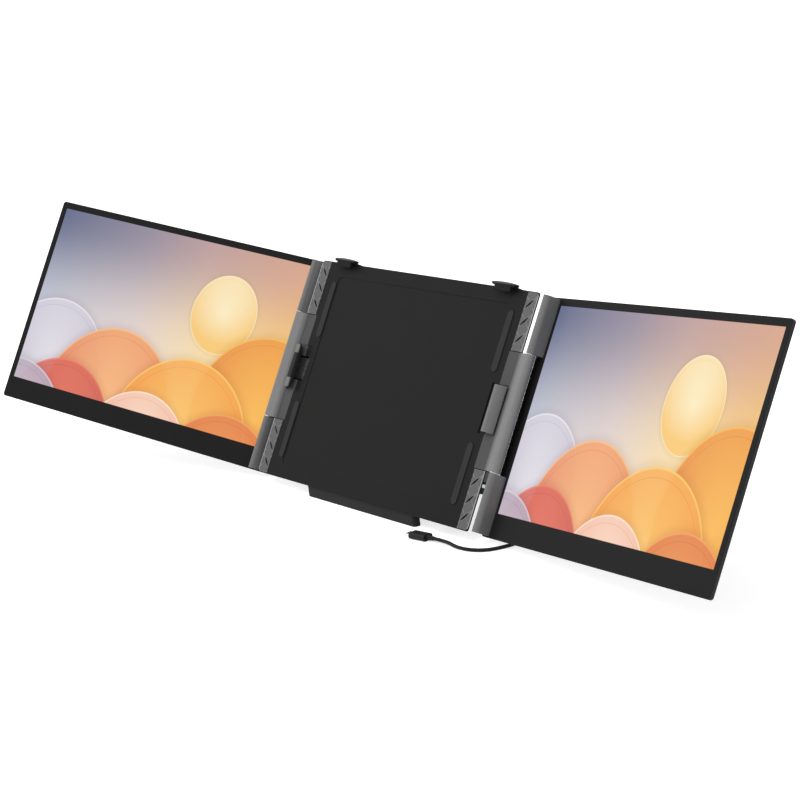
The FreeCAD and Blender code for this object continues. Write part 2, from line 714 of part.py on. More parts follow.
# Top clips
def clip_cap(x):
    """A low crowned cap with undercut ends, a neck back to the strap and a lip over the lid."""
    half = CLIP_WIDTH / 2
    face = LID_FACE + CLIP_PAD_THICKNESS
    front = face + CLIP_LIP_THICKNESS
    left = V(x - half, SEAT_Y + CLIP_END_HEIGHT, CLIP_BACK)
    right = V(x + half, SEAT_Y + CLIP_END_HEIGHT, CLIP_BACK)
    under = [right, V(x + half - CLIP_TUCK, SEAT_Y, CLIP_BACK), V(x - half + CLIP_TUCK, SEAT_Y, CLIP_BACK),
             left]
    edges = [Part.Arc(left, V(x, SEAT_Y + CLIP_CROWN, CLIP_BACK), right).toShape()]
    edges.extend(Part.LineSegment(a, b).toShape() for a, b in zip(under, under[1:]))
    crown = Part.Face(Part.Wire(edges)).extrude(V(0, 0, front - CLIP_BACK))
    plan = plate(x - half, x + half, -front, -CLIP_BACK, 0, CLIP_CROWN + CUT_OVER, CLIP_ROUND)
    plan.rotate(HERE, X_AXIS, -90)
    plan.translate(V(0, SEAT_Y, 0))
    half_lip = CLIP_LIP_WIDTH / 2
    neck = block(x - half_lip, x + half_lip, SEAT_Y, SEAT_Y + CLIP_NECK, STRAP_Z, CLIP_BACK)
    lip = plate(x - half_lip, x + half_lip, SEAT_Y - CLIP_LIP_DROP, SEAT_Y + CUT_OVER, face, front,
                CLIP_LIP_CORNER)
    return union([crown.common(plan), neck, lip])


def clip_pad(x):
    """The soft facing behind the clip's lip."""
    half = CLIP_LIP_WIDTH / 2 - CLIP_PAD_MARGIN
    return block(x - half, x + half, SEAT_Y - CLIP_LIP_DROP + CLIP_PAD_MARGIN, SEAT_Y, LID_FACE,
                 LID_FACE + CLIP_PAD_THICKNESS)


def clip_strap(x):
    """The steel strap that carries the clip and slides in the base, with a long slot."""
    low = SEAT_Y - STRAP_LENGTH
    high = STRAP_Z + STRAP_THICKNESS
    strap = block(x - STRAP_WIDTH / 2, x + STRAP_WIDTH / 2, low, SEAT_Y, STRAP_Z, high)
    slot = plate(x - STRAP_SLOT_R, x + STRAP_SLOT_R, low + STRAP_SLOT_FROM_END,
                 low + STRAP_SLOT_FROM_END + CLIP_TRAVEL + STRAP_SLOT_SPARE, STRAP_Z, high,
                 STRAP_SLOT_R - CURVE_SPARE)
    return strap.cut(slot)


def clip_guide(x):
    """The post and side rails that keep the strap straight, fixed behind the front sheet."""
    half = STRAP_WIDTH / 2 + GUIDE_CLEARANCE
    end = SEAT_Y - STRAP_LENGTH
    low = end - GUIDE_OVER
    high = BASE_HEIGHT - STRAP_MOUTH
    rails = []
    for x0 in (x - half - GUIDE_WALL, x + half):
        rails.append(block(x0, x0 + GUIDE_WALL, low, high, -RIM - STRAP_RAIL_DEPTH, -RIM))
    under = STRAP_Z + STRAP_THICKNESS + GUIDE_CLEARANCE
    bridge = block(x - half - GUIDE_WALL, x + half + GUIDE_WALL, low, high, under, -RIM)
    post_y = end + STRAP_SLOT_FROM_END + CLIP_TRAVEL + STRAP_SLOT_SPARE - STRAP_SLOT_R
    post = rod(STRAP_POST_R, V(x, post_y, under), -Z_AXIS, STRAP_THICKNESS + 2 * GUIDE_CLEARANCE)
    return union([bridge, post] + rails)


# Folding stand
def stand_deployment():
    """The angle between the stand and the base's back that puts the stand's foot on the desk."""
    dy = STAND_FOOT_R - STAND_LENGTH
    dz = -BASE_DEPTH + STAND_FOOT_R - STAND_PIVOT_Z - STAND_FOOT_PROUD
    reach = math.hypot(dy, dz)
    pivot_height = FOOT_CENTRE_HEIGHT + COSINE * STAND_PIVOT_Y + SINE * STAND_PIVOT_Z
    from_vertical = math.degrees(math.acos((pivot_height - STAND_FOOT_R) / reach))
    own_angle = math.degrees(math.atan2(-dz, -dy))
    return LEAN + from_vertical - own_angle


def deployed(shape):
    """A stand piece, swung out from the folded place that it is drawn in."""
    turned = shape.copy()
    turned.rotate(V(0, STAND_PIVOT_Y, STAND_PIVOT_Z), X_AXIS, stand_deployment())
    return turned


def stand_plate():
    """The stand's plate with its rolled hinge barrel and the bed of its foot."""
    half = STAND_WIDTH / 2
    back = -BASE_DEPTH + STAND_SETBACK
    bottom = STAND_PIVOT_Y - STAND_LENGTH
    sheet = plate(-half, half, bottom + STAND_FOOT_R, STAND_PIVOT_Y + STAND_CORNER, back,
                  back + STAND_THICKNESS, STAND_CORNER)
    sheet = sheet.common(block(-half, half, bottom, STAND_PIVOT_Y, back, back + STAND_THICKNESS))
    barrel = rod(STAND_BARREL_R, V(-half, STAND_PIVOT_Y, STAND_PIVOT_Z), X_AXIS, STAND_WIDTH)
    body = union([sheet, barrel])
    bore = rod(STAND_PIN_R + RUNNING, V(-half, STAND_PIVOT_Y, STAND_PIVOT_Z), X_AXIS, STAND_WIDTH)
    return body.cut([bore, stand_foot()])


def stand_foot():
    """The rubber bead along the stand's free edge."""
    y = STAND_PIVOT_Y - STAND_LENGTH + STAND_FOOT_R
    z = -BASE_DEPTH + STAND_FOOT_R - STAND_FOOT_PROUD
    return rod(STAND_FOOT_R, V(-STAND_FOOT_LENGTH / 2, y, z), X_AXIS, STAND_FOOT_LENGTH)


def stand_pins():
    """The two pins that the stand turns on, held in the walls of its tray."""
    half = STAND_WIDTH / 2
    length = STAND_PIN_GRIP + STAND_SIDE_GAP + TRAY_WALL
    left = rod(STAND_PIN_R, V(-half + STAND_PIN_GRIP, STAND_PIVOT_Y, STAND_PIVOT_Z), -X_AXIS, length)
    return [left, mirrored(left)]


# Electronics of the base
def main_board():
    """The board that the sockets stand on, with its larger chips."""
    top = board_top_z()
    low = top - BASE_BOARD_THICKNESS
    board = block(BOARD_X, BOARD_X + BOARD_WIDTH, BOARD_Y, BOARD_Y + BOARD_HEIGHT, low, top)
    half = BASE_CHIP_SIZE / 2
    chips = []
    for x in (BOARD_X + BOARD_WIDTH / 4, BOARD_X + BOARD_WIDTH * 3 / 4):
        for y in (BOARD_Y + BOARD_HEIGHT / 4, BOARD_Y + BOARD_HEIGHT * 3 / 4):
            chips.append(block(x - half, x + half, y - half, y + half, low - BASE_CHIP_HEIGHT, low))
    return union([board] + chips)


def usb_socket(x):
    """A reversible socket: a thin oval shell with its contact blade."""
    low = -BASE_DEPTH
    high = low + SOCKET_DEPTH
    half_w = SOCKET_WIDTH / 2
    half_h = SOCKET_HEIGHT / 2
    shell = plate(x - half_w, x + half_w, SOCKET_Y - half_h, SOCKET_Y + half_h, low, high,
                  half_h - CURVE_SPARE)
    bore = plate(x - half_w + SOCKET_WALL, x + half_w - SOCKET_WALL,
                 SOCKET_Y - half_h + SOCKET_WALL, SOCKET_Y + half_h - SOCKET_WALL,
                 low - CUT_OVER, high - SOCKET_WALL, half_h - SOCKET_WALL - CURVE_SPARE)
    blade = block(x - BLADE_WIDTH / 2, x + BLADE_WIDTH / 2, SOCKET_Y - BLADE_THICKNESS / 2,
                  SOCKET_Y + BLADE_THICKNESS / 2, low + BLADE_SETBACK, high - SOCKET_WALL)
    return union([shell.cut(bore), blade])


# Screens, drawn for the right side from the hinge axis
def back_shell(drop):
    """The back shell of a screen: a thin tray with a rounded back edge and screw bosses."""
    face = -drop - BEZEL_THICKNESS
    back = -drop - PANEL_THICKNESS
    outer = plate(-HOUSING_BACKSET, HOUSING_OUT, SCREEN_RISE, BASE_HEIGHT, back, face, PANEL_CORNER)
    outer = softened(outer, BACK_ROUND, lambda edge: abs(edge.BoundBox.ZMax - back) < RUNNING)
    hollow = plate(-HOUSING_BACKSET + PANEL_WALL, HOUSING_OUT - PANEL_WALL,
                   SCREEN_RISE + PANEL_WALL, BASE_HEIGHT - PANEL_WALL, back + PANEL_WALL,
                   face + CUT_OVER, PANEL_CORNER - PANEL_WALL)
    shell = outer.cut(hollow)
    bosses = [rod(BOSS_R, V(x, y, back + PANEL_WALL), Z_AXIS, face - back - PANEL_WALL)
              for x, y in hinge_screw_places()]
    cutters = [rod(KEY_R + KEY_GAP, V(x, KEY_Y, back), Z_AXIS, PANEL_WALL) for x in key_places()]
    for x, y in hinge_screw_places():
        cutters.append(rod(SCREW_HEAD_R + SEAT_GAP, V(x, y, back), Z_AXIS, SCREW_HEAD_HEIGHT))
        cutters.append(rod(SCREW_SHANK_R, V(x, y, back), Z_AXIS, PANEL_THICKNESS))
    return union([shell] + bosses).cut(cutters)


def bezel(drop):
    """The black front frame with the display's window and the deep chin."""
    back = -drop - BEZEL_THICKNESS
    frame = plate(-HOUSING_BACKSET, HOUSING_OUT, SCREEN_RISE, BASE_HEIGHT, back, -drop, PANEL_CORNER)
    low = SCREEN_RISE + CHIN
    cutters = [block(BEZEL_INNER, BEZEL_INNER + ACTIVE_WIDTH, low, low + ACTIVE_HEIGHT,
                     back - CUT_OVER, -drop + CUT_OVER)]
    for x, y in hinge_screw_places():
        cutters.append(rod(SCREW_SHANK_R, V(x, y, back), Z_AXIS, BEZEL_THICKNESS))
    return frame.cut(cutters)


def layer(drop, depth, thickness, margin):
    """A flat layer behind the window, as wide as the window and a margin."""
    low = SCREEN_RISE + CHIN
    top = -drop - depth
    return block(BEZEL_INNER - margin, BEZEL_INNER + ACTIVE_WIDTH + margin, low - margin,
                 low + ACTIVE_HEIGHT + margin, top - thickness, top)


def display_cell(drop):
    """The display panel behind the window."""
    return layer(drop, BEZEL_THICKNESS, CELL_THICKNESS, CELL_OVERLAP)


def backlight(drop):
    """The light guide behind the display."""
    return layer(drop, BEZEL_THICKNESS + CELL_THICKNESS, LIGHT_THICKNESS, CELL_OVERLAP)


def driver_board(drop):
    """The narrow board in the chin, with a row of chips, seated on the back shell."""
    low = -drop - PANEL_THICKNESS + PANEL_WALL
    top = low + DRIVER_BOARD_THICKNESS
    inner = BEZEL_INNER + (ACTIVE_WIDTH - DRIVER_BOARD_LENGTH) / 2
    y0 = SCREEN_RISE + DRIVER_BOARD_MARGIN
    y1 = SCREEN_RISE + CHIN - CELL_OVERLAP - DRIVER_BOARD_MARGIN
    board = block(inner, inner + DRIVER_BOARD_LENGTH, y0, y1, low, top)
    half = DRIVER_CHIP_SIZE / 2
    y = (y0 + y1) / 2
    chips = []
    for i in range(DRIVER_CHIP_COUNT):
        x = inner + (i + 1) * DRIVER_BOARD_LENGTH / (DRIVER_CHIP_COUNT + 1)
        chips.append(block(x - half, x + half, y - half, y + half, top, top + DRIVER_CHIP_HEIGHT))
    return union([board] + chips)


def hinge_barrels(drop, r):
    """The two hinge barrels of a screen, each a rounded block that stands on the bezel."""
    barrels = []
    spans = ((BARREL_END, KNUCKLE_FROM - HINGE_GAP), (KNUCKLE_TO + HINGE_GAP, BASE_HEIGHT - BARREL_END))
    bores = (
        rod(PIN_R + RUNNING, V(0, PIN_END - HINGE_GAP, 0), Y_AXIS, KNUCKLE_FROM),
        rod(PIN_R + RUNNING, V(0, BASE_HEIGHT - PIN_END + HINGE_GAP, 0), -Y_AXIS, BASE_HEIGHT - KNUCKLE_TO),
    )
    screw_holes = [rod(SCREW_SHANK_R, V(x, y, -drop), Z_AXIS, SCREW_BITE + SCREW_TIP_GAP)
                   for x, y in hinge_screw_places()]
    foot = [V(-r, 0, 0), V(-r, 0, -drop), V(r, 0, -drop), V(r, 0, 0)]
    for (y0, y1), bore in zip(spans, bores):
        edges = [Part.Arc(V(r, 0, 0), V(0, 0, r), V(-r, 0, 0)).toShape()]
        edges.extend(Part.LineSegment(a, b).toShape() for a, b in zip(foot, foot[1:]))
        barrels.append(along_y(Part.Wire(edges), y0, y1).cut([bore] + screw_holes))
    return barrels


def hinge_screw_places():
    """The screws behind the barrels, two to each."""
    low = (HINGE_SCREW_Y, HINGE_SCREW_Y + HINGE_SCREW_PITCH)
    return [(0, y) for y in low] + [(0, BASE_HEIGHT - y) for y in low]


def hinge_screws(drop):
    """Screws through the back shell and the bezel into the barrels."""
    back = -drop - PANEL_THICKNESS
    screws = []
    for x, y in hinge_screw_places():
        head = rod(SCREW_HEAD_R, V(x, y, back), Z_AXIS, SCREW_HEAD_HEIGHT)
        shank = rod(SCREW_SHANK_R - SEAT_GAP, V(x, y, back), Z_AXIS, PANEL_THICKNESS + SCREW_BITE)
        screws.append(head.fuse(shank))
    return screws


def key_places():
    """The two keys on the back near the outer bottom corner."""
    first = HOUSING_OUT - KEY_FROM_OUTER
    return (first, first - KEY_SPACING)


def key(drop, x):
    """A round key with a flange inside the back shell."""
    back = -drop - PANEL_THICKNESS
    inside = back + PANEL_WALL
    tip = back - KEY_PROUD
    bevel = Part.makeCone(KEY_R - KEY_EDGE, KEY_R, KEY_EDGE, V(x, KEY_Y, tip), Z_AXIS)
    cap = rod(KEY_R, V(x, KEY_Y, tip + KEY_EDGE), Z_AXIS, inside + KEY_GAP - tip - KEY_EDGE)
    flange = rod(KEY_FLANGE_R, V(x, KEY_Y, inside + KEY_GAP), Z_AXIS, KEY_FLANGE_THICKNESS)
    return union([bevel, cap, flange])


# Lead
def arc_path(points):
    """Straight runs joined by tangent arcs, and the smallest arc's radius."""
    corners = [V(*point) for point in points]
    edges = []
    radii = []
    start = corners[0]
    for before, corner, after in zip(corners, corners[1:], corners[2:]):
        inward = (corner - before).normalize()
        outward = (after - corner).normalize()
        turn = inward.getAngle(outward)
        run = min((corner - before).Length, (after - corner).Length)
        cut = ARC_SHARE * run
        radius = cut / math.tan(turn / 2)
        first = corner - inward * cut
        last = corner + outward * cut
        middle_direction = (outward - inward).normalize()
        centre = corner + middle_direction * (radius / math.cos(turn / 2))
        middle = centre - middle_direction * radius
        edges.append(Part.LineSegment(start, first).toShape())
        edges.append(Part.Arc(first, middle, last).toShape())
        radii.append(radius)
        start = last
    edges.append(Part.LineSegment(start, corners[-1]).toShape())
    return Part.Wire(edges), radii


def cord_points():
    """The lead's route from the plug in the base to the loose plug on the desk."""
    return [
        (135.0, 49.6, 26.05), (135.0, 63.4, 18.08), (135.8, 82.0, 9.0), (138.5, 107.0, 2.4),
        (145.0, 139.0, CORD_HEIGHT), (157.0, 168.0, CORD_HEIGHT), (178.0, 187.0, CORD_HEIGHT),
        (202.0, 179.0, CORD_HEIGHT), (210.5, 152.0, CORD_HEIGHT), (207.5, 124.0, CORD_HEIGHT),
        (206.0, 97.0, CORD_HEIGHT), (207.6, 69.0, CORD_HEIGHT), (212.5, 40.0, CORD_HEIGHT),
        (214.5, 21.0, CORD_HEIGHT), (213.0, 3.5, CORD_HEIGHT), (206.0, -11.0, CORD_HEIGHT),
        (192.0, -18.5, CORD_HEIGHT), (175.0, -20.2, 1.85), (158.3, -17.3, 2.9),
        (141.64, -19.42, LOOSE_PLUG_HEIGHT),
    ]


def usb_lead():
    """The lead's round jacket along its route."""
    points = cord_points()
    path, radii = arc_path(points)
    profile = Part.Wire([Part.makeCircle(CORD_R, V(*points[0]), V(*points[1]) - V(*points[0]))])
    tube = path.makePipeShell([profile], True, False)
    solid = Part.Solid(tube) if tube.ShapeType != "Solid" else tube
    ratio = solid.Volume / (math.pi * CORD_R ** 2 * path.Length)
    print("lead length", round(path.Length, 1), "smallest radius", round(min(radii), 1),
          "volume ratio", round(ratio, 4))
    print("lead radii", [round(radius, 1) for radius in radii])
    runs = [(V(*b) - V(*a)).Length for a, b in zip(points, points[1:])]
    print("lead runs", [round(run, 1) for run in runs])
    return solid


def usb_plug():
    """A plug drawn upright: tongue from Z = 0 upwards, body and strain relief below."""
    half_w = SOCKET_WIDTH / 2 - SOCKET_WALL - RUNNING
    half_h = SOCKET_HEIGHT / 2 - SOCKET_WALL - RUNNING
    tongue = plate(-half_w, half_w, -half_h, half_h, -CUT_OVER, PLUG_TONGUE_LENGTH, half_h - CURVE_SPARE)
    inner_w = half_w - PLUG_TONGUE_WALL
    inner_h = half_h - PLUG_TONGUE_WALL
    bore = plate(-inner_w, inner_w, -inner_h, inner_h, PLUG_TONGUE_FLOOR,
                 PLUG_TONGUE_LENGTH + CUT_OVER, inner_h - CURVE_SPARE)
    body = plate(-PLUG_WIDTH / 2, PLUG_WIDTH / 2, -PLUG_THICKNESS / 2, PLUG_THICKNESS / 2,
                 -PLUG_LENGTH, 0, PLUG_CORNER)
    relief = Part.makeCone(RELIEF_R, RELIEF_END_R, RELIEF_LENGTH, V(0, 0, -PLUG_LENGTH), -Z_AXIS)
    return union([body, tongue, relief]).cut(bore)


def base_plug():
    """The plug that sits in the base's outer socket, on the sheet."""
    plug = usb_plug()
    plug.translate(V(SOCKET_XS[1], SOCKET_Y, -BASE_DEPTH - PLUG_STANDOFF))
    return plug


def loose_plug():
    """The laptop end's plug, lying flat on the desk."""
    plug = usb_plug()
    end = V(*cord_points()[-1])
    before = V(*cord_points()[-2])
    heading = V(end.x - before.x, end.y - before.y, 0).normalize()
    plug.translate(V(0, 0, PLUG_LENGTH + RELIEF_LENGTH))
    plug.rotate(HERE, X_AXIS, 90)
    plug.rotate(HERE, Z_AXIS, math.degrees(math.atan2(heading.y, heading.x)) + 90)
    plug.translate(end)
    return plug


# Write the base
write("base_front_frame", [front_frame()], SHEET)
write("base_back_cover", [back_cover()], SHEET)
write("base_foot", [base_foot()])
write("lid_pads", lid_pads(), SHEET)
write("base_screws", base_screws(), SHEET)
write("main_board", [main_board()], SHEET)
write("usb_sockets", [usb_socket(x) for x in SOCKET_XS], SHEET)
write("stand_pins", stand_pins(), SHEET)
write("stand_plate", [deployed(stand_plate())], SHEET)
write("stand_foot", [deployed(stand_foot())], SHEET)

strips = lattice_strips()
write("side_lattice_right", strips, SHEET)
write("side_lattice_left", [mirrored(strip) for strip in strips], SHEET)

# Write what each side has
SIDES = (
    ("right", 1, RIGHT_AXIS_Z, RIGHT_KNUCKLE_R, RIGHT_DROP, RIGHT_TURN),
    ("left", -1, LEFT_AXIS_Z, LEFT_KNUCKLE_R, LEFT_DROP, LEFT_TURN),
)
for side, sign, axis_z, knuckle_r, drop, turn in SIDES:
    clip_x = sign * CLIP_X
    write("hinge_bracket_" + side, handed(sign, [hinge_bracket(axis_z, knuckle_r)]), SHEET)
    write("hinge_pins_" + side, handed(sign, hinge_pins(axis_z)), SHEET)
    write("hinge_washers_" + side, handed(sign, hinge_washers(axis_z, knuckle_r)), SHEET)
    write("clamp_jaw_" + side, handed(sign, [clamp_jaw()]), SHEET)
    write("clamp_pad_" + side, handed(sign, [jaw_pad()]), SHEET)
    write("clamp_rail_" + side, handed(sign, [clamp_rail()]), SHEET)
    write("clamp_guide_" + side, handed(sign, [clamp_guide()]), SHEET)
    write("top_clip_cap_" + side, [clip_cap(clip_x)], SHEET)
    write("top_clip_pad_" + side, [clip_pad(clip_x)], SHEET)
    write("top_clip_strap_" + side, [clip_strap(clip_x)], SHEET)
    write("top_clip_guide_" + side, [clip_guide(clip_x)], SHEET)

    screen = FreeCAD.Placement(V(sign * AXIS_X, 0, axis_z), FreeCAD.Rotation(Y_AXIS, -sign * turn))
    place = SHEET.multiply(screen)
    name = "screen_" + side + "_"
    write(name + "back_shell", handed(sign, [back_shell(drop)]), place)
    write(name + "bezel", handed(sign, [bezel(drop)]), place)
    write(name + "display", handed(sign, [display_cell(drop)]), place)
    write(name + "backlight", handed(sign, [backlight(drop)]), place)
    write(name + "driver_board", handed(sign, [driver_board(drop)]), place)
    write(name + "hinge_barrels", handed(sign, hinge_barrels(drop, knuckle_r)), place)
    write(name + "screws", handed(sign, hinge_screws(drop)), place)
    for key_name, x in zip(("power_key", "menu_key"), key_places()):
        write(name + key_name, handed(sign, [key(drop, x)]), place)

# Write the lead
write("usb_lead", [usb_lead()])
write("usb_plug_base", [base_plug()], SHEET)
write("usb_plug_laptop", [loose_plug()])
print("stand opened by", round(stand_deployment(), 3))
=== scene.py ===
"""Looks of the laptop screen extender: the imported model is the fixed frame, and every
visible surface gets its finish, its softened edges and its small detail round it.

Lengths that a designer would choose are in millimetres in the sheet's own datum (X to the
right, Y up the sheet, Z out of its face), and are turned into metres in the frame's place.
"""

import json
import logging
import math
from dataclasses import dataclass, field, replace
from enum import Enum
from typing import Callable, Sequence

import bpy
from mathutils import Matrix, Quaternion, Vector

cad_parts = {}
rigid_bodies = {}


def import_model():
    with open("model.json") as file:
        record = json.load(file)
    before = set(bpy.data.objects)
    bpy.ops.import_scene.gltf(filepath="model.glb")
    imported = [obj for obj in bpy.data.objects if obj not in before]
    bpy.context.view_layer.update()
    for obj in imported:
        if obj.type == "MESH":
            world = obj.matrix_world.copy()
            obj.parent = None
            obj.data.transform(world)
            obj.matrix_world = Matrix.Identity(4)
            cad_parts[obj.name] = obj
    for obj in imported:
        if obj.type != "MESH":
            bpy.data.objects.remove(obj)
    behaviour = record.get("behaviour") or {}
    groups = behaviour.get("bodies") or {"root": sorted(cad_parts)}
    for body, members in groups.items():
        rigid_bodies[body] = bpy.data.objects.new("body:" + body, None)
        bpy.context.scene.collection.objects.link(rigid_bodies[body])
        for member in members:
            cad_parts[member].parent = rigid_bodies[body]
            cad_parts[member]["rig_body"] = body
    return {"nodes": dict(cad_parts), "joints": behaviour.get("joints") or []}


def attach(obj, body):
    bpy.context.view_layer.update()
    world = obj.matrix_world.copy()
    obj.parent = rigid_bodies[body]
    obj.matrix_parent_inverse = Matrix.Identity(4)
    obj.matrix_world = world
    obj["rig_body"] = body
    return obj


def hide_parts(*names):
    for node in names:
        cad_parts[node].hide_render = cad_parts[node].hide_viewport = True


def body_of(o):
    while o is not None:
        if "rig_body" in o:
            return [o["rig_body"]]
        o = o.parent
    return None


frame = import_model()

log = logging.getLogger("screen_extender")

MM = 0.001
Colour = tuple[float, float, float]
Point = tuple[float, float, float]
Span = tuple[float, float]
FaceTest = Callable[[Vector, Vector], bool]

# Where noise, which is 0 to 1, starts and ends to show.
CLOUD_SPAN: Span = (0.3, 0.7)
SPECK_SPAN: Span = (0.45, 0.75)

# The share of its roughness that a finish keeps on edges that handling has polished.
WORN_ROUGHNESS = 0.8

# Corners closer than this, in millimetres, are one: of a shell first, and of its bevels after.
SHELL_MERGE = 0.004
BEVEL_MERGE = 0.001

WHITE = (1.0, 1.0, 1.0, 1.0)

# Above this part along an axis, a face's normal counts as looking that way.
FACING = 0.9


def srgb(red: float, green: float, blue: float) -> Colour:
    """A colour given as it looks on a screen, as the linear values that shaders take.

    Args:
        red: the red part, 0 to 255.
        green: the green part, 0 to 255.
        blue: the blue part, 0 to 255.

    Returns:
        The three linear values, 0 to 1.
    """
    parts = (value / 255 for value in (red, green, blue))
    return tuple(p / 12.92 if p <= 0.04045 else ((p + 0.055) / 1.055) ** 2.4 for p in parts)


def grey(level: float) -> Colour:
    """A neutral grey given as it looks on a screen, 0 to 255."""
    return srgb(level, level, level)


def shaded(colour: Colour, share: float) -> Colour:
    """A colour made lighter or darker by a share, kept under white."""
    return tuple(min(1.0, part * share) for part in colour)


class Side(Enum):
    """The two sides of the base, as the user sees them."""

    RIGHT = 1
    LEFT = -1

    @property
    def word(self) -> str:
        """The side's name as the frame's nodes and bodies have it."""
        return self.name.lower()


@dataclass(frozen=True)
class Datum:
    """A place with three axes, in metres in the frame, that pieces are drawn in."""

    origin: Vector
    x: Vector
    y: Vector
    z: Vector

    def matrix(self) -> Matrix:
        """The matrix that takes a point drawn here to its place in the frame."""
        turn = Matrix((self.x, self.y, self.z)).transposed().to_4x4()
        return Matrix.Translation(self.origin) @ turn

    def point(self, x: float, y: float, z: float) -> Vector:
        """The frame's point for one drawn here in millimetres."""
        return self.matrix() @ (Vector((x, y, z)) * MM)

    def moved(self, x: float, y: float, z: float) -> "Datum":
        """The same axes at another point, given in millimetres."""
        return Datum(self.point(x, y, z), self.x, self.y, self.z)


@dataclass(frozen=True)
class SheetSizes:
    """Sizes of the base sheet in millimetres, as the frame has them."""

    height: float = 223.0
    depth: float = 13.0
    hinge_x: float = 186.3
    hinge_z: float = -2.0

    @property
    def middle(self) -> float:
        """The height of the middle of the sheet."""
        return self.height / 2


BASE = SheetSizes()


def joint(name: str) -> dict:
    """The frame's joint of that name."""
    return next(entry for entry in frame["joints"] if entry["name"] == name)


def sheet_datum() -> Datum:
    """The base sheet's datum: X to the right, Y up the sheet, Z out of its face.

    Returns:
        The datum, found from the right screen's hinge, whose axis runs down the sheet.
    """
    right = joint("screen_right_hinge")
    up = -Vector(right["axis"]).normalized()
    across = Vector((1, 0, 0))
    out = across.cross(up)
    offset = across * BASE.hinge_x + up * BASE.middle + out * BASE.hinge_z
    return Datum(Vector(right["pos_m"]) - offset * MM, across, up, out)


SHEET = sheet_datum()


def screen_datum(side: Side) -> Datum:
    """A screen's datum at its hinge: X across the sheet, turned with the screen.

    Args:
        side: the screen's side.

    Returns:
        The datum, at the height of the sheet's lower edge.
    """
    hinge = joint(f"screen_{side.word}_hinge")
    flat = min(hinge["range_deg"], key=abs)
    turn = Quaternion(SHEET.y, math.radians(side.value * flat))
    foot = Vector(hinge["pos_m"]) - SHEET.y * BASE.middle * MM
    return Datum(foot, turn @ SHEET.x, SHEET.y, turn @ SHEET.z)


class Sum(Enum):
    """The sums that a Math node can do here."""

    ADD = "ADD"
    SUBTRACT = "SUBTRACT"
    MULTIPLY = "MULTIPLY"
    DIVIDE = "DIVIDE"
    POWER = "POWER"
    ABSOLUTE = "ABSOLUTE"
    MINIMUM = "MINIMUM"
    MAXIMUM = "MAXIMUM"
    PINGPONG = "PINGPONG"


def operator(kind: Sum, swapped: bool = False) -> Callable:
    """A method that puts one Math node on a term and a value or another term.

    Args:
        kind: the node's sum.
        swapped: whether the other comes first.

    Returns:
        The method.
    """
    def method(self: "Term", other: object = 0.0) -> "Term":
        """The result of the sum."""
        first, second = (other, self) if swapped else (self, other)
        inputs = {0: first, 1: second}
        return self.graph.node("ShaderNodeMath", {"operation": kind.value}, inputs)
    return method


class Term:
    """A shader socket on which Python's operators build Math nodes."""

    __add__ = __radd__ = operator(Sum.ADD)
    __sub__ = operator(Sum.SUBTRACT)
    __rsub__ = operator(Sum.SUBTRACT, swapped=True)
    __mul__ = __rmul__ = operator(Sum.MULTIPLY)
    __truediv__ = operator(Sum.DIVIDE)
    __pow__ = operator(Sum.POWER)
    __abs__ = operator(Sum.ABSOLUTE)

    # The smaller of two, the larger of two, and a fold back and forth between 0 and a length.
    least = operator(Sum.MINIMUM)
    most = operator(Sum.MAXIMUM)
    fold = operator(Sum.PINGPONG)

    def __init__(self, graph: "Graph", socket: bpy.types.NodeSocket) -> None:
        """Wrap one socket of a graph."""
        self.graph = graph
        self.socket = socket

    def ease(self, low: float, high: float) -> "Term":
        """A smooth step from 0 at the low value to 1 at the high one."""
        return self.graph.node(
            "ShaderNodeMapRange", {"interpolation_type": "SMOOTHSTEP"}, {0: self, 1: low, 2: high}
        )


def opaque(value: object) -> object:
    """A colour with its alpha, and anything else as it is."""
    if isinstance(value, tuple) and len(value) == 3:
        return (*value, 1.0)
    return value


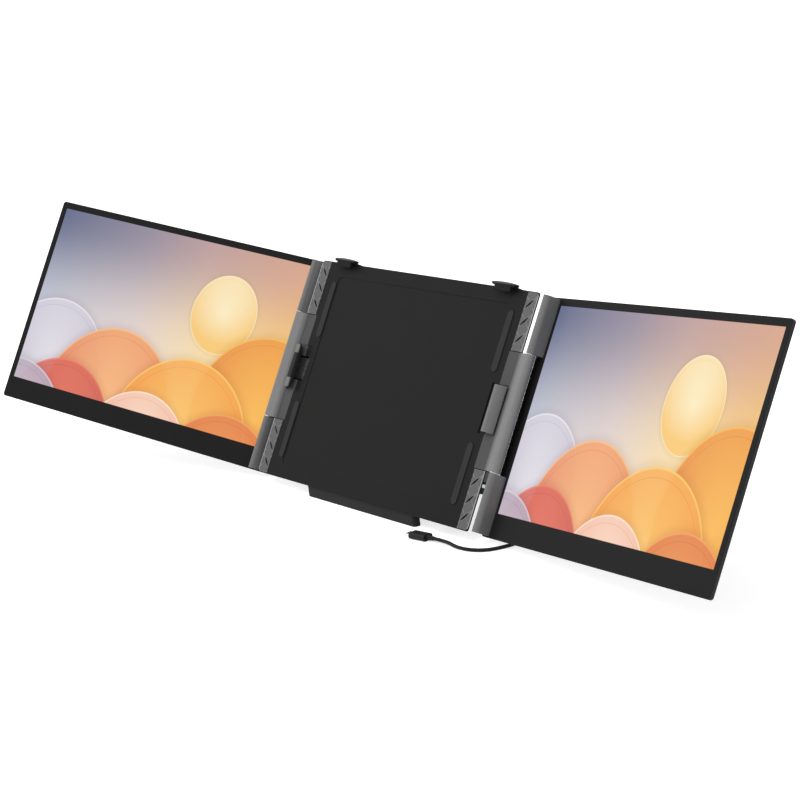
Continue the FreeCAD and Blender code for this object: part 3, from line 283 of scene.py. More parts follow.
class Graph:
    """The node tree of one material or of the world."""

    def __init__(self, owner: object) -> None:
        """Start with an empty tree."""
        self.owner = owner
        self.owner.use_nodes = True
        self.tree = self.owner.node_tree
        self.tree.nodes.clear()

    def node(self, kind: str, settings: dict, inputs: dict, output: object = 0) -> Term:
        """One node with its settings, then its sockets.

        Args:
            kind: the node's type.
            settings: what is set on the node first; "stops" fills a ramp.
            inputs: values or terms by socket name or number.
            output: the name or number of the socket that is wanted.

        Returns:
            The term for that output.
        """
        made = self.tree.nodes.new(kind)
        for key, value in settings.items():
            if key == "stops":
                self._stops(made.color_ramp, value)
            else:
                setattr(made, key, value)
        for key, value in inputs.items():
            if isinstance(value, Term):
                self.tree.links.new(value.socket, made.inputs[key])
            else:
                made.inputs[key].default_value = value
        return Term(self, made.outputs[output])

    @staticmethod
    def _stops(ramp: bpy.types.ColorRamp, stops: Sequence[tuple[float, Colour]]) -> None:
        """Give a ramp its stops.

        Args:
            ramp: the ramp, which starts with two.
            stops: the places, 0 to 1, with their colours.
        """
        while len(ramp.elements) < len(stops):
            ramp.elements.new(1.0)
        for element, (place, colour) in zip(ramp.elements, stops):
            element.position = place
            element.color = (*colour, 1.0)

    def place(self) -> Term:
        """The object's own coordinates, in metres in the frame."""
        return self.node("ShaderNodeTexCoord", {}, {}, "Object")

    def drawn(self, datum: Datum) -> Term:
        """The coordinates of a datum, in metres."""
        euler = datum.matrix().to_euler()
        inputs = {"Vector": self.place(), "Location": datum.origin, "Rotation": euler}
        return self.node("ShaderNodeMapping", {"vector_type": "TEXTURE"}, inputs)

    def split(self, vector: Term) -> tuple[Term, Term, Term]:
        """The three parts of a vector."""
        x = self.node("ShaderNodeSeparateXYZ", {}, {0: vector})
        parts = x.socket.node.outputs
        return x, Term(self, parts[1]), Term(self, parts[2])

    def millimetres(self, datum: Datum) -> tuple[Term, Term, Term]:
        """The three coordinates of a datum, in millimetres."""
        return tuple(part / MM for part in self.split(self.drawn(datum)))

    def stretched(self, vector: Term, share: Point) -> Term:
        """A vector with each part multiplied."""
        return self.node("ShaderNodeVectorMath", {"operation": "MULTIPLY"}, {0: vector, 1: share})

    def noise(self, vector: Term, scale: float, detail: float = 4.0, rough: float = 0.55) -> Term:
        """Cloudy noise, 0 to 1, of a scale in features per metre."""
        inputs = {"Vector": vector, "Scale": scale, "Detail": detail, "Roughness": rough}
        return self.node("ShaderNodeTexNoise", {}, inputs)

    def mix(self, share: object, first: object, second: object) -> Term:
        """A colour between two."""
        inputs = {0: share, 6: opaque(first), 7: opaque(second)}
        return self.node("ShaderNodeMix", {"data_type": "RGBA"}, inputs, 2)

    def bump(self, height: Term, strength: float, depth: float) -> Term:
        """A normal from a height that varies by about one, over a depth in metres."""
        inputs = {"Height": height, "Strength": strength, "Distance": depth}
        return self.node("ShaderNodeBump", {}, inputs)

    def surface(self, **sockets: object) -> Term:
        """The principled shader with these sockets, named with _ for a space."""
        inputs = {key.replace("_", " "): opaque(value) for key, value in sockets.items()}
        return self.node("ShaderNodeBsdfPrincipled", {}, inputs)

    def dressed(self, tone: Term, rough: Term, normal: Term, specular: float,
                metallic: float = 0.0) -> bpy.types.Material:
        """End the tree in a surface.

        Args:
            tone: the base colour.
            rough: the roughness.
            normal: the normal.
            specular: the level of its clear reflection.
            metallic: how much of it is metal.

        Returns:
            The material.
        """
        shader = self.surface(Base_Color=tone, Metallic=metallic, Roughness=rough, Normal=normal,
                              Specular_IOR_Level=specular)
        return self.finish(shader)

    def finish(self, shader: Term, kind: str = "ShaderNodeOutputMaterial") -> object:
        """End the tree in a shader.

        Args:
            shader: the shader.
            kind: the type of the end node.

        Returns:
            The material or world that the tree belongs to.
        """
        end = self.tree.nodes.new(kind)
        self.tree.links.new(shader.socket, end.inputs["Surface"])
        return self.owner


@dataclass(frozen=True)
class Coat:
    """What moulded and metal finishes share: a tone, and how handling changes their edges."""

    name: str
    colour: Colour
    roughness: float = 0.5
    specular: float = 0.3
    edge_share: float = 1.7

    def worn(self) -> "Coat":
        """The same finish, polished and paler or darker by its own share."""
        return replace(self, name=self.name + "_edge", colour=shaded(self.colour, self.edge_share),
                       roughness=self.roughness * WORN_ROUGHNESS)


@dataclass(frozen=True)
class Moulded(Coat):
    """Moulded plastic or rubber: a fine grain, a slow cloud in its tone and roughness."""

    grain: float = 2600.0
    grain_depth: float = 0.03
    cloud: float = 0.10
    cloud_scale: float = 34.0
    lightest: float = 1.35
    darkest: float = 0.7
    rough_cloud: float = 0.12
    rough_speck: float = 0.1

    def material(self) -> bpy.types.Material:
        """The finish as a material.

        Returns:
            The material, paler in slow clouds and darker in fine specks.
        """
        graph = Graph(bpy.data.materials.new(self.name))
        place = graph.place()
        cloud = graph.noise(place, self.cloud_scale)
        speck = graph.noise(place, self.grain, 2.0)
        pale = shaded(self.colour, self.lightest)
        dark = shaded(self.colour, self.darkest)
        tone = graph.mix(cloud.ease(*CLOUD_SPAN) * self.cloud * 2, self.colour, pale)
        tone = graph.mix(speck.ease(*SPECK_SPAN) * self.cloud, tone, dark)
        rough = (cloud - 0.5) * self.rough_cloud + (speck - 0.5) * self.rough_speck
        rough = rough + self.roughness
        normal = graph.bump(speck, 0.5, self.grain_depth * MM)
        return graph.dressed(tone, rough, normal, self.specular)


@dataclass(frozen=True)
class Metal(Coat):
    """Anodised or bare metal with a grain that may run along one way of the sheet.

    It may have a parting line so many millimetres out from the sheet's middle, a darker plate
    inside it, and beyond it painted shade that fades out over so many millimetres, so that the
    knuckle's crown looks lit.
    """

    roughness: float = 0.38
    specular: float = 0.5
    edge_share: float = 1.6
    metallic: float = 1.0
    brushed: Point = (1.0, 1.0, 1.0)
    grain: float = 1500.0
    grain_depth: float = 0.012
    contrast: float = 0.35
    cloud_scale: float = 22.0
    cloud: float = 0.22
    cloud_span: Span = (0.35, 0.75)
    lightest: float = 1.4
    darkest: float = 0.8
    rough_grain: float = 0.16
    rough_cloud: float = 0.1
    line: float = 0.0
    line_span: Span = (0.12, 0.3)
    line_shade: float = 0.15
    # The width over which the painted shade beyond the parting line fades out, and the share of
    # the tone that it starts from.
    crown: float = 7.0
    crown_shade: float = 0.42
    plate_shade: float = 0.36
    plate_blur: float = 0.2

    def material(self) -> bpy.types.Material:
        """The finish as a material.

        Returns:
            The material, with its parting line if it has one.
        """
        graph = Graph(bpy.data.materials.new(self.name))
        drawn = graph.drawn(SHEET)
        grain = graph.noise(graph.stretched(drawn, self.brushed), self.grain, 3.0, 0.65)
        cloud = graph.noise(drawn, self.cloud_scale)
        pale = shaded(self.colour, self.lightest)
        dark = shaded(self.colour, self.darkest)
        tone = graph.mix(grain.ease(*CLOUD_SPAN) * self.contrast, self.colour, pale)
        tone = graph.mix(cloud.ease(*self.cloud_span) * self.cloud, tone, dark)
        if self.line:
            tone = self._lined(graph, tone)
        rough = (grain - 0.5) * self.rough_grain + (cloud - 0.5) * self.rough_cloud
        rough = rough + self.roughness
        normal = graph.bump(grain, 0.35, self.grain_depth * MM)
        return graph.dressed(tone, rough, normal, self.specular, self.metallic)

    def _lined(self, graph: Graph, tone: Term) -> Term:
        """The tone with a fine parting line, a darker plate inside it, and painted shade outside
        it that fades out towards the crown.

        Args:
            graph: the material's graph.
            tone: the tone so far.

        Returns:
            The new tone.
        """
        out = abs(graph.millimetres(SHEET)[0])
        # Painted shade across the knuckle: darkest next to the parting line, fading out over the
        # crown's width so that the crown looks lit.
        crown = (out - self.line - self.line_span[1]) / self.crown
        tone = graph.mix(crown.least(1.0).most(0.0), shaded(self.colour, self.crown_shade), tone)
        inside = out.ease(self.line - self.plate_blur, self.line)
        tone = graph.mix(inside, shaded(self.colour, self.plate_shade), tone)
        line = 1.0 - abs(out - self.line).ease(*self.line_span)
        return graph.mix(line, tone, shaded(self.colour, self.line_shade))


@dataclass(frozen=True)
class Quilted:
    """The side strips' quilting: pillows between crossed creases, with painted highlights and
    shade.
    """

    name: str = "quilted_strip"
    colour: Colour = grey(92)
    # The painted highlight on the lips, creases and outer rim, and the painted shade in the slits.
    crest: Colour = grey(158)
    shade: Colour = grey(2)
    pitch: float = 16.4
    slope: float = math.tan(math.radians(40.0))
    low_row: float = 11.95
    high_row: float = 178.25
    slit_x: float = 166.0
    slit_reach: float = 5.4
    crease_x: float = 167.8
    rim_x: float = 174.7
    pillow: Span = (0.0, 3.4)
    pillow_foot: float = 0.15
    slit_width: float = 1.6
    slit_blur: float = 0.25
    lip_span: Span = (1.4, 2.1)
    lip_strength: float = 0.22
    crease_span: Span = (0.25, 0.7)
    crease_strength: float = 0.5
    speck_scale: float = 2400.0
    speck_span: Span = (0.35, 0.7)
    speck_height: float = 0.12
    lightest: float = 1.5
    relief: float = 0.16
    roughness: float = 0.42
    rough_speck: float = 0.15
    rough_edge: float = 0.45
    specular: float = 0.03

    def material(self) -> bpy.types.Material:
        """The finish as a material: slits painted dark as shade, with painted highlights on their
        lips, faintly on the creases and along the outer rim.

        Returns:
            The material, whose rows are counted from each end of the sheet.
        """
        graph = Graph(bpy.data.materials.new(self.name))
        x, y, _ = graph.millimetres(SHEET)
        out = abs(x)
        upper = y.ease(BASE.middle - 1, BASE.middle + 1)
        rows = y - self.low_row - upper * ((self.high_row - self.low_row) % self.pitch)
        rising = (rows - (out - self.slit_x) * self.slope).fold(self.pitch / 2)
        falling = (rows + (out - self.crease_x) * self.slope).fold(self.pitch / 2)
        reach = 1.0 - (abs(out - self.slit_x) / self.slit_reach).least(1.0) ** 2.0
        pillow = rising.ease(*self.pillow) + self.pillow_foot
        pillow = pillow * (falling.ease(*self.pillow) + self.pillow_foot)
        # Masks of painted light: shade in the slits, highlights on their lips and on the creases,
        # and a highlight along the outer rim.
        slit_shade = (reach * self.slit_width - rising).ease(0.0, self.slit_blur)
        lip_highlight = (1.0 - rising.ease(*self.lip_span)) * self.lip_strength
        crease_highlight = (1.0 - falling.ease(*self.crease_span)) * self.crease_strength
        rim = out.ease(self.rim_x - self.slit_blur, self.rim_x)
        speck = graph.noise(graph.place(), self.speck_scale, 2.0)
        pale = shaded(self.colour, self.lightest)
        tone = graph.mix(speck.ease(*self.speck_span) * 0.5, self.colour, pale)
        # Paint the highlights, then the shade in the slits over them.
        tone = graph.mix(lip_highlight.most(rim).most(crease_highlight), tone, self.crest)
        tone = graph.mix(slit_shade, tone, self.shade)
        normal = graph.bump(pillow + speck * self.speck_height, 1.0, self.relief * MM)
        rough = speck * self.rough_speck + self.roughness
        return graph.dressed(tone, rough, normal, self.specular)

    def worn(self) -> Moulded:
        """The strip's edge, where the quilting has run out."""
        return Moulded(self.name + "_edge", self.colour, self.rough_edge, self.specular)


@dataclass(frozen=True)
class TwoTone:
    """A moulded clamp or clip painted near-black as shade over one span along the sheet."""

    name: str
    shell: Moulded
    # The near-black tone painted as shade between low and high.
    cover: Colour
    axis: int
    low: float
    high: float
    blur: float = 0.25
    cloud_scale: float = 40.0
    bare_cloud: float = 0.3
    bare_lightest: float = 1.3
    cover_speck: float = 0.4
    cover_lightest: float = 1.6
    cover_rough: float = 0.3
    edge_share: float = 1.4

    def material(self) -> bpy.types.Material:
        """The finish as a material: painted dark as shade between two places along the sheet's
        axis.

        Returns:
            The material, rougher where the shade is painted.
        """
        graph = Graph(bpy.data.materials.new(self.name))
        along = graph.millimetres(SHEET)[self.axis]
        # Where the painted shade lies, fading in and out over the blur.
        shade_mask = along.ease(self.low - self.blur, self.low + self.blur)
        shade_mask = shade_mask - along.ease(self.high - self.blur, self.high + self.blur)
        place = graph.place()
        cloud = graph.noise(place, self.cloud_scale)
        speck = graph.noise(place, self.shell.grain, 2.0)
        pale = shaded(self.shell.colour, self.bare_lightest)
        # The part's own tone outside the painted shade, then the near-black painted shade with its
        # fine speck.
        bare = graph.mix(cloud.ease(*CLOUD_SPAN) * self.bare_cloud, self.shell.colour, pale)
        pale = shaded(self.cover, self.cover_lightest)
        rubber = graph.mix(speck.ease(*CLOUD_SPAN) * self.cover_speck, self.cover, pale)
        tone = graph.mix(shade_mask, bare, rubber)
        rough = shade_mask * self.cover_rough + (speck - 0.5) * 0.1 + self.shell.roughness
        normal = graph.bump(speck, 0.5, self.shell.grain_depth * MM)
        return graph.dressed(tone, rough, normal, self.shell.specular)

    def worn(self) -> "TwoTone":
        """The same on its edges."""
        return replace(self, name=self.name + "_edge", shell=self.shell.worn(),
                       cover=shaded(self.cover, self.edge_share))


@dataclass(frozen=True)
class Disc:
    """One soft disc of the screens' picture, in picture heights from its lower left corner."""

    x: float
    y: float
    r: float
    inner: Colour
    outer: Colour
    glow: float = 0.35


@dataclass(frozen=True)
class Picture:
    """The picture on a screen: a dusk gradient with overlapping soft discs.

    The spans of a disc are in its radii from its middle, and the margin's in millimetres. Each
    look is how strongly a thing shows, and how much lighter or darker it is than the disc.
    """

    name: str
    datum: Datum
    left: float
    low: float
    width: float
    height: float
    strength: float = 1.0
    sky_span: Span = (0.35, 1.0)
    margin: Colour = grey(6)
    margin_span: Span = (0.15, 0.7)
    shadow_span: Span = (0.94, 1.12)
    shadow_look: Span = (0.2, 0.35)
    edge_span: Span = (0.99, 1.0)
    cover: float = 0.9
    rim_span: Span = (0.965, 0.985)
    rim_look: Span = (0.55, 1.15)
    contour_at: float = 0.9
    contour_span: Span = (0.0015, 0.005)
    contour_look: Span = (0.3, 0.6)
    shade_out: float = 0.75
    shade_least: float = 0.1
    panel: Colour = grey(8)
    speck_scale: float = 3000.0
    roughness: float = 0.3
    rough_speck: float = 0.08
    specular: float = 0.03
    high_sky: tuple[tuple[float, Colour], ...] = (
        (0.0, srgb(104, 112, 142)),
        (0.35, srgb(150, 143, 160)),
        (0.62, srgb(192, 162, 160)),
        (1.0, srgb(216, 168, 142)),
    )
    low_sky: tuple[tuple[float, Colour], ...] = (
        (0.0, srgb(196, 200, 214)),
        (0.4, srgb(226, 212, 208)),
        (0.7, srgb(248, 222, 174)),
        (1.0, srgb(252, 206, 120)),
    )
    discs: tuple[Disc, ...] = (
        Disc(1.30, 0.63, 0.22, srgb(255, 244, 206), srgb(250, 204, 122), 0.5),
        Disc(0.20, 0.10, 0.40, srgb(236, 232, 238), srgb(164, 158, 184), 0.5),
        Disc(1.70, 0.14, 0.44, srgb(253, 196, 96), srgb(222, 104, 44)),
        Disc(0.68, -0.04, 0.46, srgb(255, 196, 132), srgb(214, 62, 44), 0.5),
        Disc(1.22, -0.12, 0.48, srgb(255, 212, 120), srgb(240, 128, 44)),
        Disc(0.36, -0.22, 0.40, srgb(240, 130, 108), srgb(172, 44, 66), 0.5),
        Disc(0.96, -0.26, 0.38, srgb(255, 240, 222), srgb(232, 112, 84), 0.5),
        Disc(1.54, -0.28, 0.40, srgb(250, 176, 110), srgb(204, 66, 40)),
        Disc(0.02, -0.30, 0.42, srgb(222, 214, 224), srgb(140, 112, 142)),
    )

    def material(self) -> bpy.types.Material:
        """The lit picture behind a satin screen, with the panel's dark margin round it.

        Returns:
            The material.
        """
        graph = Graph(bpy.data.materials.new(self.name))
        across, up, _ = graph.millimetres(self.datum)
        across = across - self.left
        up = up - self.low
        x = across / self.height
        y = up / self.height
        slope = x * (self.height / self.width)
        high = graph.node("ShaderNodeValToRGB", {"stops": self.high_sky}, {0: slope})
        low = graph.node("ShaderNodeValToRGB", {"stops": self.low_sky}, {0: slope})
        tone = graph.mix(y.ease(*self.sky_span), low, high)
        for disc in self.discs:
            tone = self._disc(graph, tone, x, y, disc)
        inside = across.least(self.width - across).least(up).least(self.height - up)
        tone = graph.mix(inside.ease(*self.margin_span), self.margin, tone)
        speck = graph.noise(graph.place(), self.speck_scale, 2.0)
        rough = speck * self.rough_speck + self.roughness
        shader = graph.surface(Base_Color=self.panel, Roughness=rough, Emission_Color=tone,
                               Emission_Strength=self.strength, Specular_IOR_Level=self.specular)
        return graph.finish(shader)

    def _disc(self, graph: Graph, under: Term, x: Term, y: Term, disc: Disc) -> Term:
        """The picture with one more disc on it, and the disc's soft shadow under it.

        Args:
            graph: the material's graph.
            under: the picture so far.
            x: the place across, in picture heights.
            y: the place up, in picture heights.
            disc: the disc.

        Returns:
            The new colour.
        """
        dx = x - disc.x
        dy = y - disc.y
        away = (dx * dx + dy * dy) ** 0.5 / disc.r
        shadow = 1.0 - away.ease(*self.shadow_span)
        strength, share = self.shadow_look
        under = graph.mix(shadow * strength, under, shaded(disc.outer, share))
        edge = 1.0 - away.ease(*self.edge_span)
        shade = away * self.shade_out - dy / disc.r * disc.glow + self.shade_least
        face = graph.mix(shade.least(1.0).most(0.0), disc.inner, disc.outer)
        rim = away.ease(*self.rim_span)
        strength, share = self.rim_look
        face = graph.mix(rim * strength, face, shaded(disc.inner, share))
        contour = 1.0 - abs(away - self.contour_at).ease(*self.contour_span)
        strength, share = self.contour_look
        face = graph.mix(contour * strength, face, shaded(disc.outer, share))
        return graph.mix(edge * self.cover, under, face)


class Dresser:
    """Makes each finish's material once, and gives pieces their finishes."""

    def __init__(self) -> None:
        """Start with no materials made."""
        self.made: dict[str, bpy.types.Material] = {}

    def material(self, finish: object) -> bpy.types.Material:
        """The one material of a finish."""
        if finish.name not in self.made:
            self.made[finish.name] = finish.material()
        return self.made[finish.name]

    def paint(self, piece: bpy.types.Object, *finishes: object) -> None:
        """Give a piece its finishes, in the order of its material slots."""
        piece.data.materials.clear()
        for finish in finishes:
            piece.data.materials.append(self.material(finish))

    def dress(self, node: str, finish: object) -> None:
        """Give a node of the frame its finish."""
        self.paint(frame["nodes"][node], finish)
        log.info("dressed %s", node)


DRESSER = Dresser()


def stand_alone(piece: bpy.types.Object) -> None:
    """Deselect everything but one object and make it the active one."""
    bpy.ops.object.select_all(action="DESELECT")
    piece.select_set(True)
    bpy.context.view_layer.objects.active = piece


def added(name: str, data: object) -> bpy.types.Object:
    """A new object of the scene with that mesh, curve, light or camera."""
    thing = bpy.data.objects.new(name, data)
    bpy.context.scene.collection.objects.link(thing)
    return thing


def modified(piece: bpy.types.Object, kind: str, **settings: object) -> None:
    """Put a modifier on the active object and apply it.

    Args:
        piece: the object, in object mode.
        kind: the modifier's type.
        settings: what is set on it.
    """
    modifier = piece.modifiers.new(kind.lower(), kind)
    for key, value in settings.items():
        setattr(modifier, key, value)
    bpy.ops.object.modifier_apply(modifier=modifier.name)


def merged(distance: float) -> None:
    """Make one of the active object's corners that are closer than so many millimetres."""
    bpy.ops.object.mode_set(mode="EDIT")
    bpy.ops.mesh.select_all(action="SELECT")
    bpy.ops.mesh.remove_doubles(threshold=distance * MM)
    bpy.ops.object.mode_set(mode="OBJECT")


def settle() -> None:
    """Put the active object's place, turn and scale into its mesh."""
    bpy.ops.object.transform_apply(location=True, rotation=True, scale=True)


def pick(piece: bpy.types.Object, test: FaceTest) -> None:
    """Go into edit mode with the faces selected that pass a test.

    Args:
        piece: the active object, in object or edit mode.
        test: takes a face's centre and normal and says whether it is wanted.
    """
    bpy.ops.object.mode_set(mode="EDIT")
    bpy.ops.mesh.select_mode(type="FACE")
    bpy.ops.mesh.select_all(action="DESELECT")
    bpy.ops.object.mode_set(mode="OBJECT")
    for face in piece.data.polygons:
        face.select = test(face.center, face.normal)
    bpy.ops.object.mode_set(mode="EDIT")


def smoothed(piece: bpy.types.Object, angle: float = 40.0) -> None:
    """Shade a piece smooth where its faces meet at less than an angle.

    Args:
        piece: the piece, in object or edit mode.
        angle: the angle in degrees.
    """
    bpy.ops.object.mode_set(mode="OBJECT")
    stand_alone(piece)
    bpy.ops.object.shade_smooth_by_angle(angle=math.radians(angle))


@dataclass(frozen=True)
class SoftEdge:
    """How a shell's edges are softened: the width in millimetres and the angle in degrees."""

    width: float = 0.25
    segments: int = 2
    angle: float = 35.0
    clamped: bool = True

    def shape(self, node: str, finish: object) -> bpy.types.Object:
        """A copy of a node with bevelled edges in place of the node.

        Args:
            node: the node's name.
            finish: the finish of its faces; its worn form goes on the bevels.

        Returns:
            The new piece.
        """
        source = frame["nodes"][node]
        piece = added(node + "_soft", source.data.copy())
        stand_alone(piece)
        merged(SHELL_MERGE)
        bpy.ops.mesh.customdata_custom_splitnormals_clear()
        DRESSER.paint(piece, finish, finish.worn())
        for face in piece.data.polygons:
            face.material_index = 0
        modified(piece, "BEVEL", width=self.width * MM, segments=self.segments,
                 limit_method="ANGLE", angle_limit=math.radians(self.angle),
                 use_clamp_overlap=self.clamped, material=1)
        merged(BEVEL_MERGE)
        smoothed(piece)
        modified(piece, "WEIGHTED_NORMAL", mode="FACE_AREA_WITH_ANGLE", keep_sharp=True)
        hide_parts(node)
        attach(piece, body_of(source)[0])
        log.info("shaped %s: %d faces", piece.name, len(piece.data.polygons))
        return piece


@dataclass(frozen=True)
class Screw:
    """A flat screw with a rounded rim and a crossed recess, its sizes in millimetres."""

    head_r: float = 2.0
    head_height: float = 0.7
    rim: float = 0.22
    shank_r: float = 0.85
    length: float = 3.4
    cross_length: float = 2.3
    cross_width: float = 0.5
    cross_depth: float = 0.5
    cross_taper: float = 0.55
    centre_r: float = 0.1
    facets: int = 32
    smooth_angle: float = 35.0
    first_turn: float = 25.0
    next_turn: float = 37.0

    def model(self) -> bpy.types.Object:
        """One screw at the origin, its head facing down the Z axis.

        Returns:
            The screw.
        """
        bpy.ops.object.select_all(action="DESELECT")
        bpy.ops.mesh.primitive_cylinder_add(
            vertices=self.facets, radius=self.head_r * MM, depth=self.head_height * MM,
            location=(0, 0, self.head_height / 2 * MM),
        )
        screw = bpy.context.active_object
        settle()
        pick(screw, lambda centre, normal: normal.z < -FACING)
        bpy.ops.mesh.bevel(offset=self.rim * MM, segments=3, affect="EDGES")
        pick(screw, lambda centre, normal: normal.z > FACING)
        bpy.ops.mesh.inset(thickness=(self.head_r - self.shank_r) * MM, depth=0)
        pick(screw, self._shank_end)
        rise = (0, 0, (self.length - self.head_height) * MM)
        bpy.ops.mesh.extrude_region_move(TRANSFORM_OT_translate={"value": rise})
        bpy.ops.object.mode_set(mode="OBJECT")
        for turned in (False, True):
            self._cut(screw, turned)
        smoothed(screw, self.smooth_angle)
        return screw

    def _shank_end(self, centre: Vector, normal: Vector) -> bool:
        """Whether a face is the inner round of the head's underside."""
        return normal.z > FACING and centre.xy.length < self.centre_r * MM

    def _cut(self, screw: bpy.types.Object, turned: bool) -> None:
        """Cut one bar of the crossed recess, narrower at its floor.

        Args:
            screw: the screw to cut.
            turned: whether the bar lies across the first one.
        """
        bpy.ops.object.select_all(action="DESELECT")
        long, wide = self.cross_length * MM, self.cross_width * MM
        flat = (wide, long) if turned else (long, wide)
        bpy.ops.mesh.primitive_cube_add(
            size=1, location=(0, 0, 0), scale=(*flat, 2 * self.cross_depth * MM)
        )
        bar = bpy.context.active_object
        settle()
        pick(bar, lambda centre, normal: normal.z > FACING)
        taper = (self.cross_taper, self.cross_taper, 1.0)
        bpy.ops.transform.resize(value=taper, center_override=(0, 0, 0))
        bpy.ops.object.mode_set(mode="OBJECT")
        stand_alone(screw)
        modified(screw, "BOOLEAN", operation="DIFFERENCE", solver="EXACT", object=bar)
        bpy.data.objects.remove(bar)

    def set_in(self, datum: Datum, places: Sequence[Point], node: str, finish: object) -> None:
        """Model the screw once, copy it to its places and let the copies stand for a node.

        Args:
            datum: the datum that the places are given in.
            places: the points of the heads' faces, in millimetres.
            node: the node of the frame that the screws stand for.
            finish: the screws' finish.
        """
        pattern = self.model()
        copies = []
        for number, place in enumerate(places):
            stand_alone(pattern)
            bpy.ops.object.duplicate(linked=False)
            copy = bpy.context.active_object
            angle = math.radians(self.first_turn + self.next_turn * number)
            copy.matrix_world = datum.moved(*place).matrix() @ Matrix.Rotation(angle, 4, "Z")
            settle()
            copies.append(copy)
        bpy.data.objects.remove(pattern)
        stand_alone(copies[0])
        for copy in copies[1:]:
            copy.select_set(True)
        bpy.ops.object.join()
        piece = bpy.context.active_object
        piece.name = node + "_crossed"
        DRESSER.paint(piece, finish)
        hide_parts(node)
        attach(piece, body_of(frame["nodes"][node])[0])
        log.info("set %d screws for %s", len(copies), node)


STEEL = Metal("steel", grey(200), roughness=0.3)
BLACK_RUBBER = Moulded("pad_rubber", grey(38), roughness=0.85, specular=0.25)
CIRCUIT_BOARD = Moulded("circuit_board", srgb(20, 84, 52), roughness=0.4)
GUIDE_PLASTIC = Moulded("guide_plastic", grey(60), roughness=0.5, specular=0.3)
BRUSHED_UP: Point = (1.0, 0.04, 1.0)
# The brackets' parting line brings painted shade across the knuckle beyond it.
HINGE_METAL = Metal("hinge_grey", grey(121), metallic=0.1, roughness=0.5, brushed=BRUSHED_UP,
                    grain=2600.0, specular=0.04, edge_share=0.9, line=172.1)
BARREL_METAL = Metal("barrel_grey", grey(106), metallic=0.25, roughness=0.5, brushed=BRUSHED_UP,
                     grain=2600.0, specular=0.06)
# The shells' bevelled edges are four times as pale as the shell, a painted highlight line along
# them.
SCREEN_SHELL = Metal("screen_shell", grey(48), metallic=0.4, roughness=0.5, grain=1800.0,
                     specular=0.08, edge_share=4.0)


@dataclass
class BaseUnit:
    """The sheet that carries the laptop's lid: its shells, strips, foot and inner parts."""

    shell: Moulded = Moulded("sheet_plastic", grey(30), roughness=0.6, specular=0.04)
    cover: Moulded = Moulded("cover_plastic", grey(42), roughness=0.62, specular=0.1)
    foot: Moulded = Moulded("foot_rubber", grey(28), roughness=0.8, specular=0.25)
    board: Moulded = CIRCUIT_BOARD
    strip: Quilted = Quilted()
    screw: Screw = Screw()
    screw_x: tuple[float, float] = (100.0, 155.0)
    screw_y: tuple[float, float] = (12.0, 78.0)

    def build(self) -> None:
        """Shape and dress the base's pieces."""
        SoftEdge(width=0.22).shape("base_front_frame", self.shell)
        SoftEdge(width=0.3).shape("base_back_cover", self.cover)
        SoftEdge(width=0.5, segments=3).shape("base_foot", self.foot)
        for side in Side:
            SoftEdge(width=0.12).shape(f"side_lattice_{side.word}", self.strip)
        DRESSER.dress("lid_pads", BLACK_RUBBER)
        DRESSER.dress("main_board", self.board)
        DRESSER.dress("usb_sockets", STEEL)
        self.screw.set_in(SHEET, self._screw_places(), "base_screws", STEEL)

    def _screw_places(self) -> list[Point]:
        """The screws of the back cover.

        Returns:
            The heads' places in the sheet's datum, in millimetres.
        """
        places = []
        for x, from_end in zip(self.screw_x, self.screw_y):
            for sign in (-1, 1):
                for y in (from_end, BASE.height - from_end):
                    places.append((sign * x, y, -BASE.depth))
        return places


@dataclass
class Stand:
    """The folding stand behind the base."""

    metal: Metal = Metal("stand_metal", grey(98), metallic=0.8, roughness=0.45, grain=1900.0)
    foot: Moulded = Moulded("stand_foot_rubber", grey(30), roughness=0.8, specular=0.25)

    def build(self) -> None:
        """Shape and dress the stand's pieces."""
        SoftEdge(width=0.35).shape("stand_plate", self.metal)
        SoftEdge(width=0.3).shape("stand_foot", self.foot)
        DRESSER.dress("stand_pins", STEEL)


@dataclass
class HingeSide:
    """One side's hinge: the bracket on the sheet with its pins and washers."""

    side: Side
    metal: Metal = HINGE_METAL

    def build(self) -> None:
        """Shape and dress the hinge's pieces."""
        word = self.side.word
        edge = SoftEdge(width=0.06, clamped=False)
        edge.shape(f"hinge_bracket_{word}", self.metal)
        DRESSER.dress(f"hinge_pins_{word}", STEEL)
        DRESSER.dress(f"hinge_washers_{word}", STEEL)


@dataclass
class Clamp:
    """One side's sliding clamp with its pad, rail and guide."""

    side: Side
    jaw: Moulded = Moulded("clamp_grey", grey(96), roughness=0.5, specular=0.3)
    guide: Moulded = GUIDE_PLASTIC
    # The near-black painted shade on the left jaw, and its span about the sheet's middle.
    cover: Colour = grey(24)
    cover_span: Span = (-12.5, 13.5)

    def build(self) -> None:
        """Shape and dress the clamp's pieces."""
        word = self.side.word
        low, high = (BASE.middle + end for end in self.cover_span)
        finish = self.jaw
        # On the left the jaw is painted near-black as shade over its middle span.
        if self.side is Side.LEFT:
            finish = TwoTone("clamp_covered", self.jaw, self.cover, 1, low, high)
        SoftEdge(width=0.25).shape(f"clamp_jaw_{word}", finish)
        DRESSER.dress(f"clamp_pad_{word}", BLACK_RUBBER)
        DRESSER.dress(f"clamp_guide_{word}", self.guide)
        SoftEdge(width=0.15).shape(f"clamp_rail_{word}", STEEL)


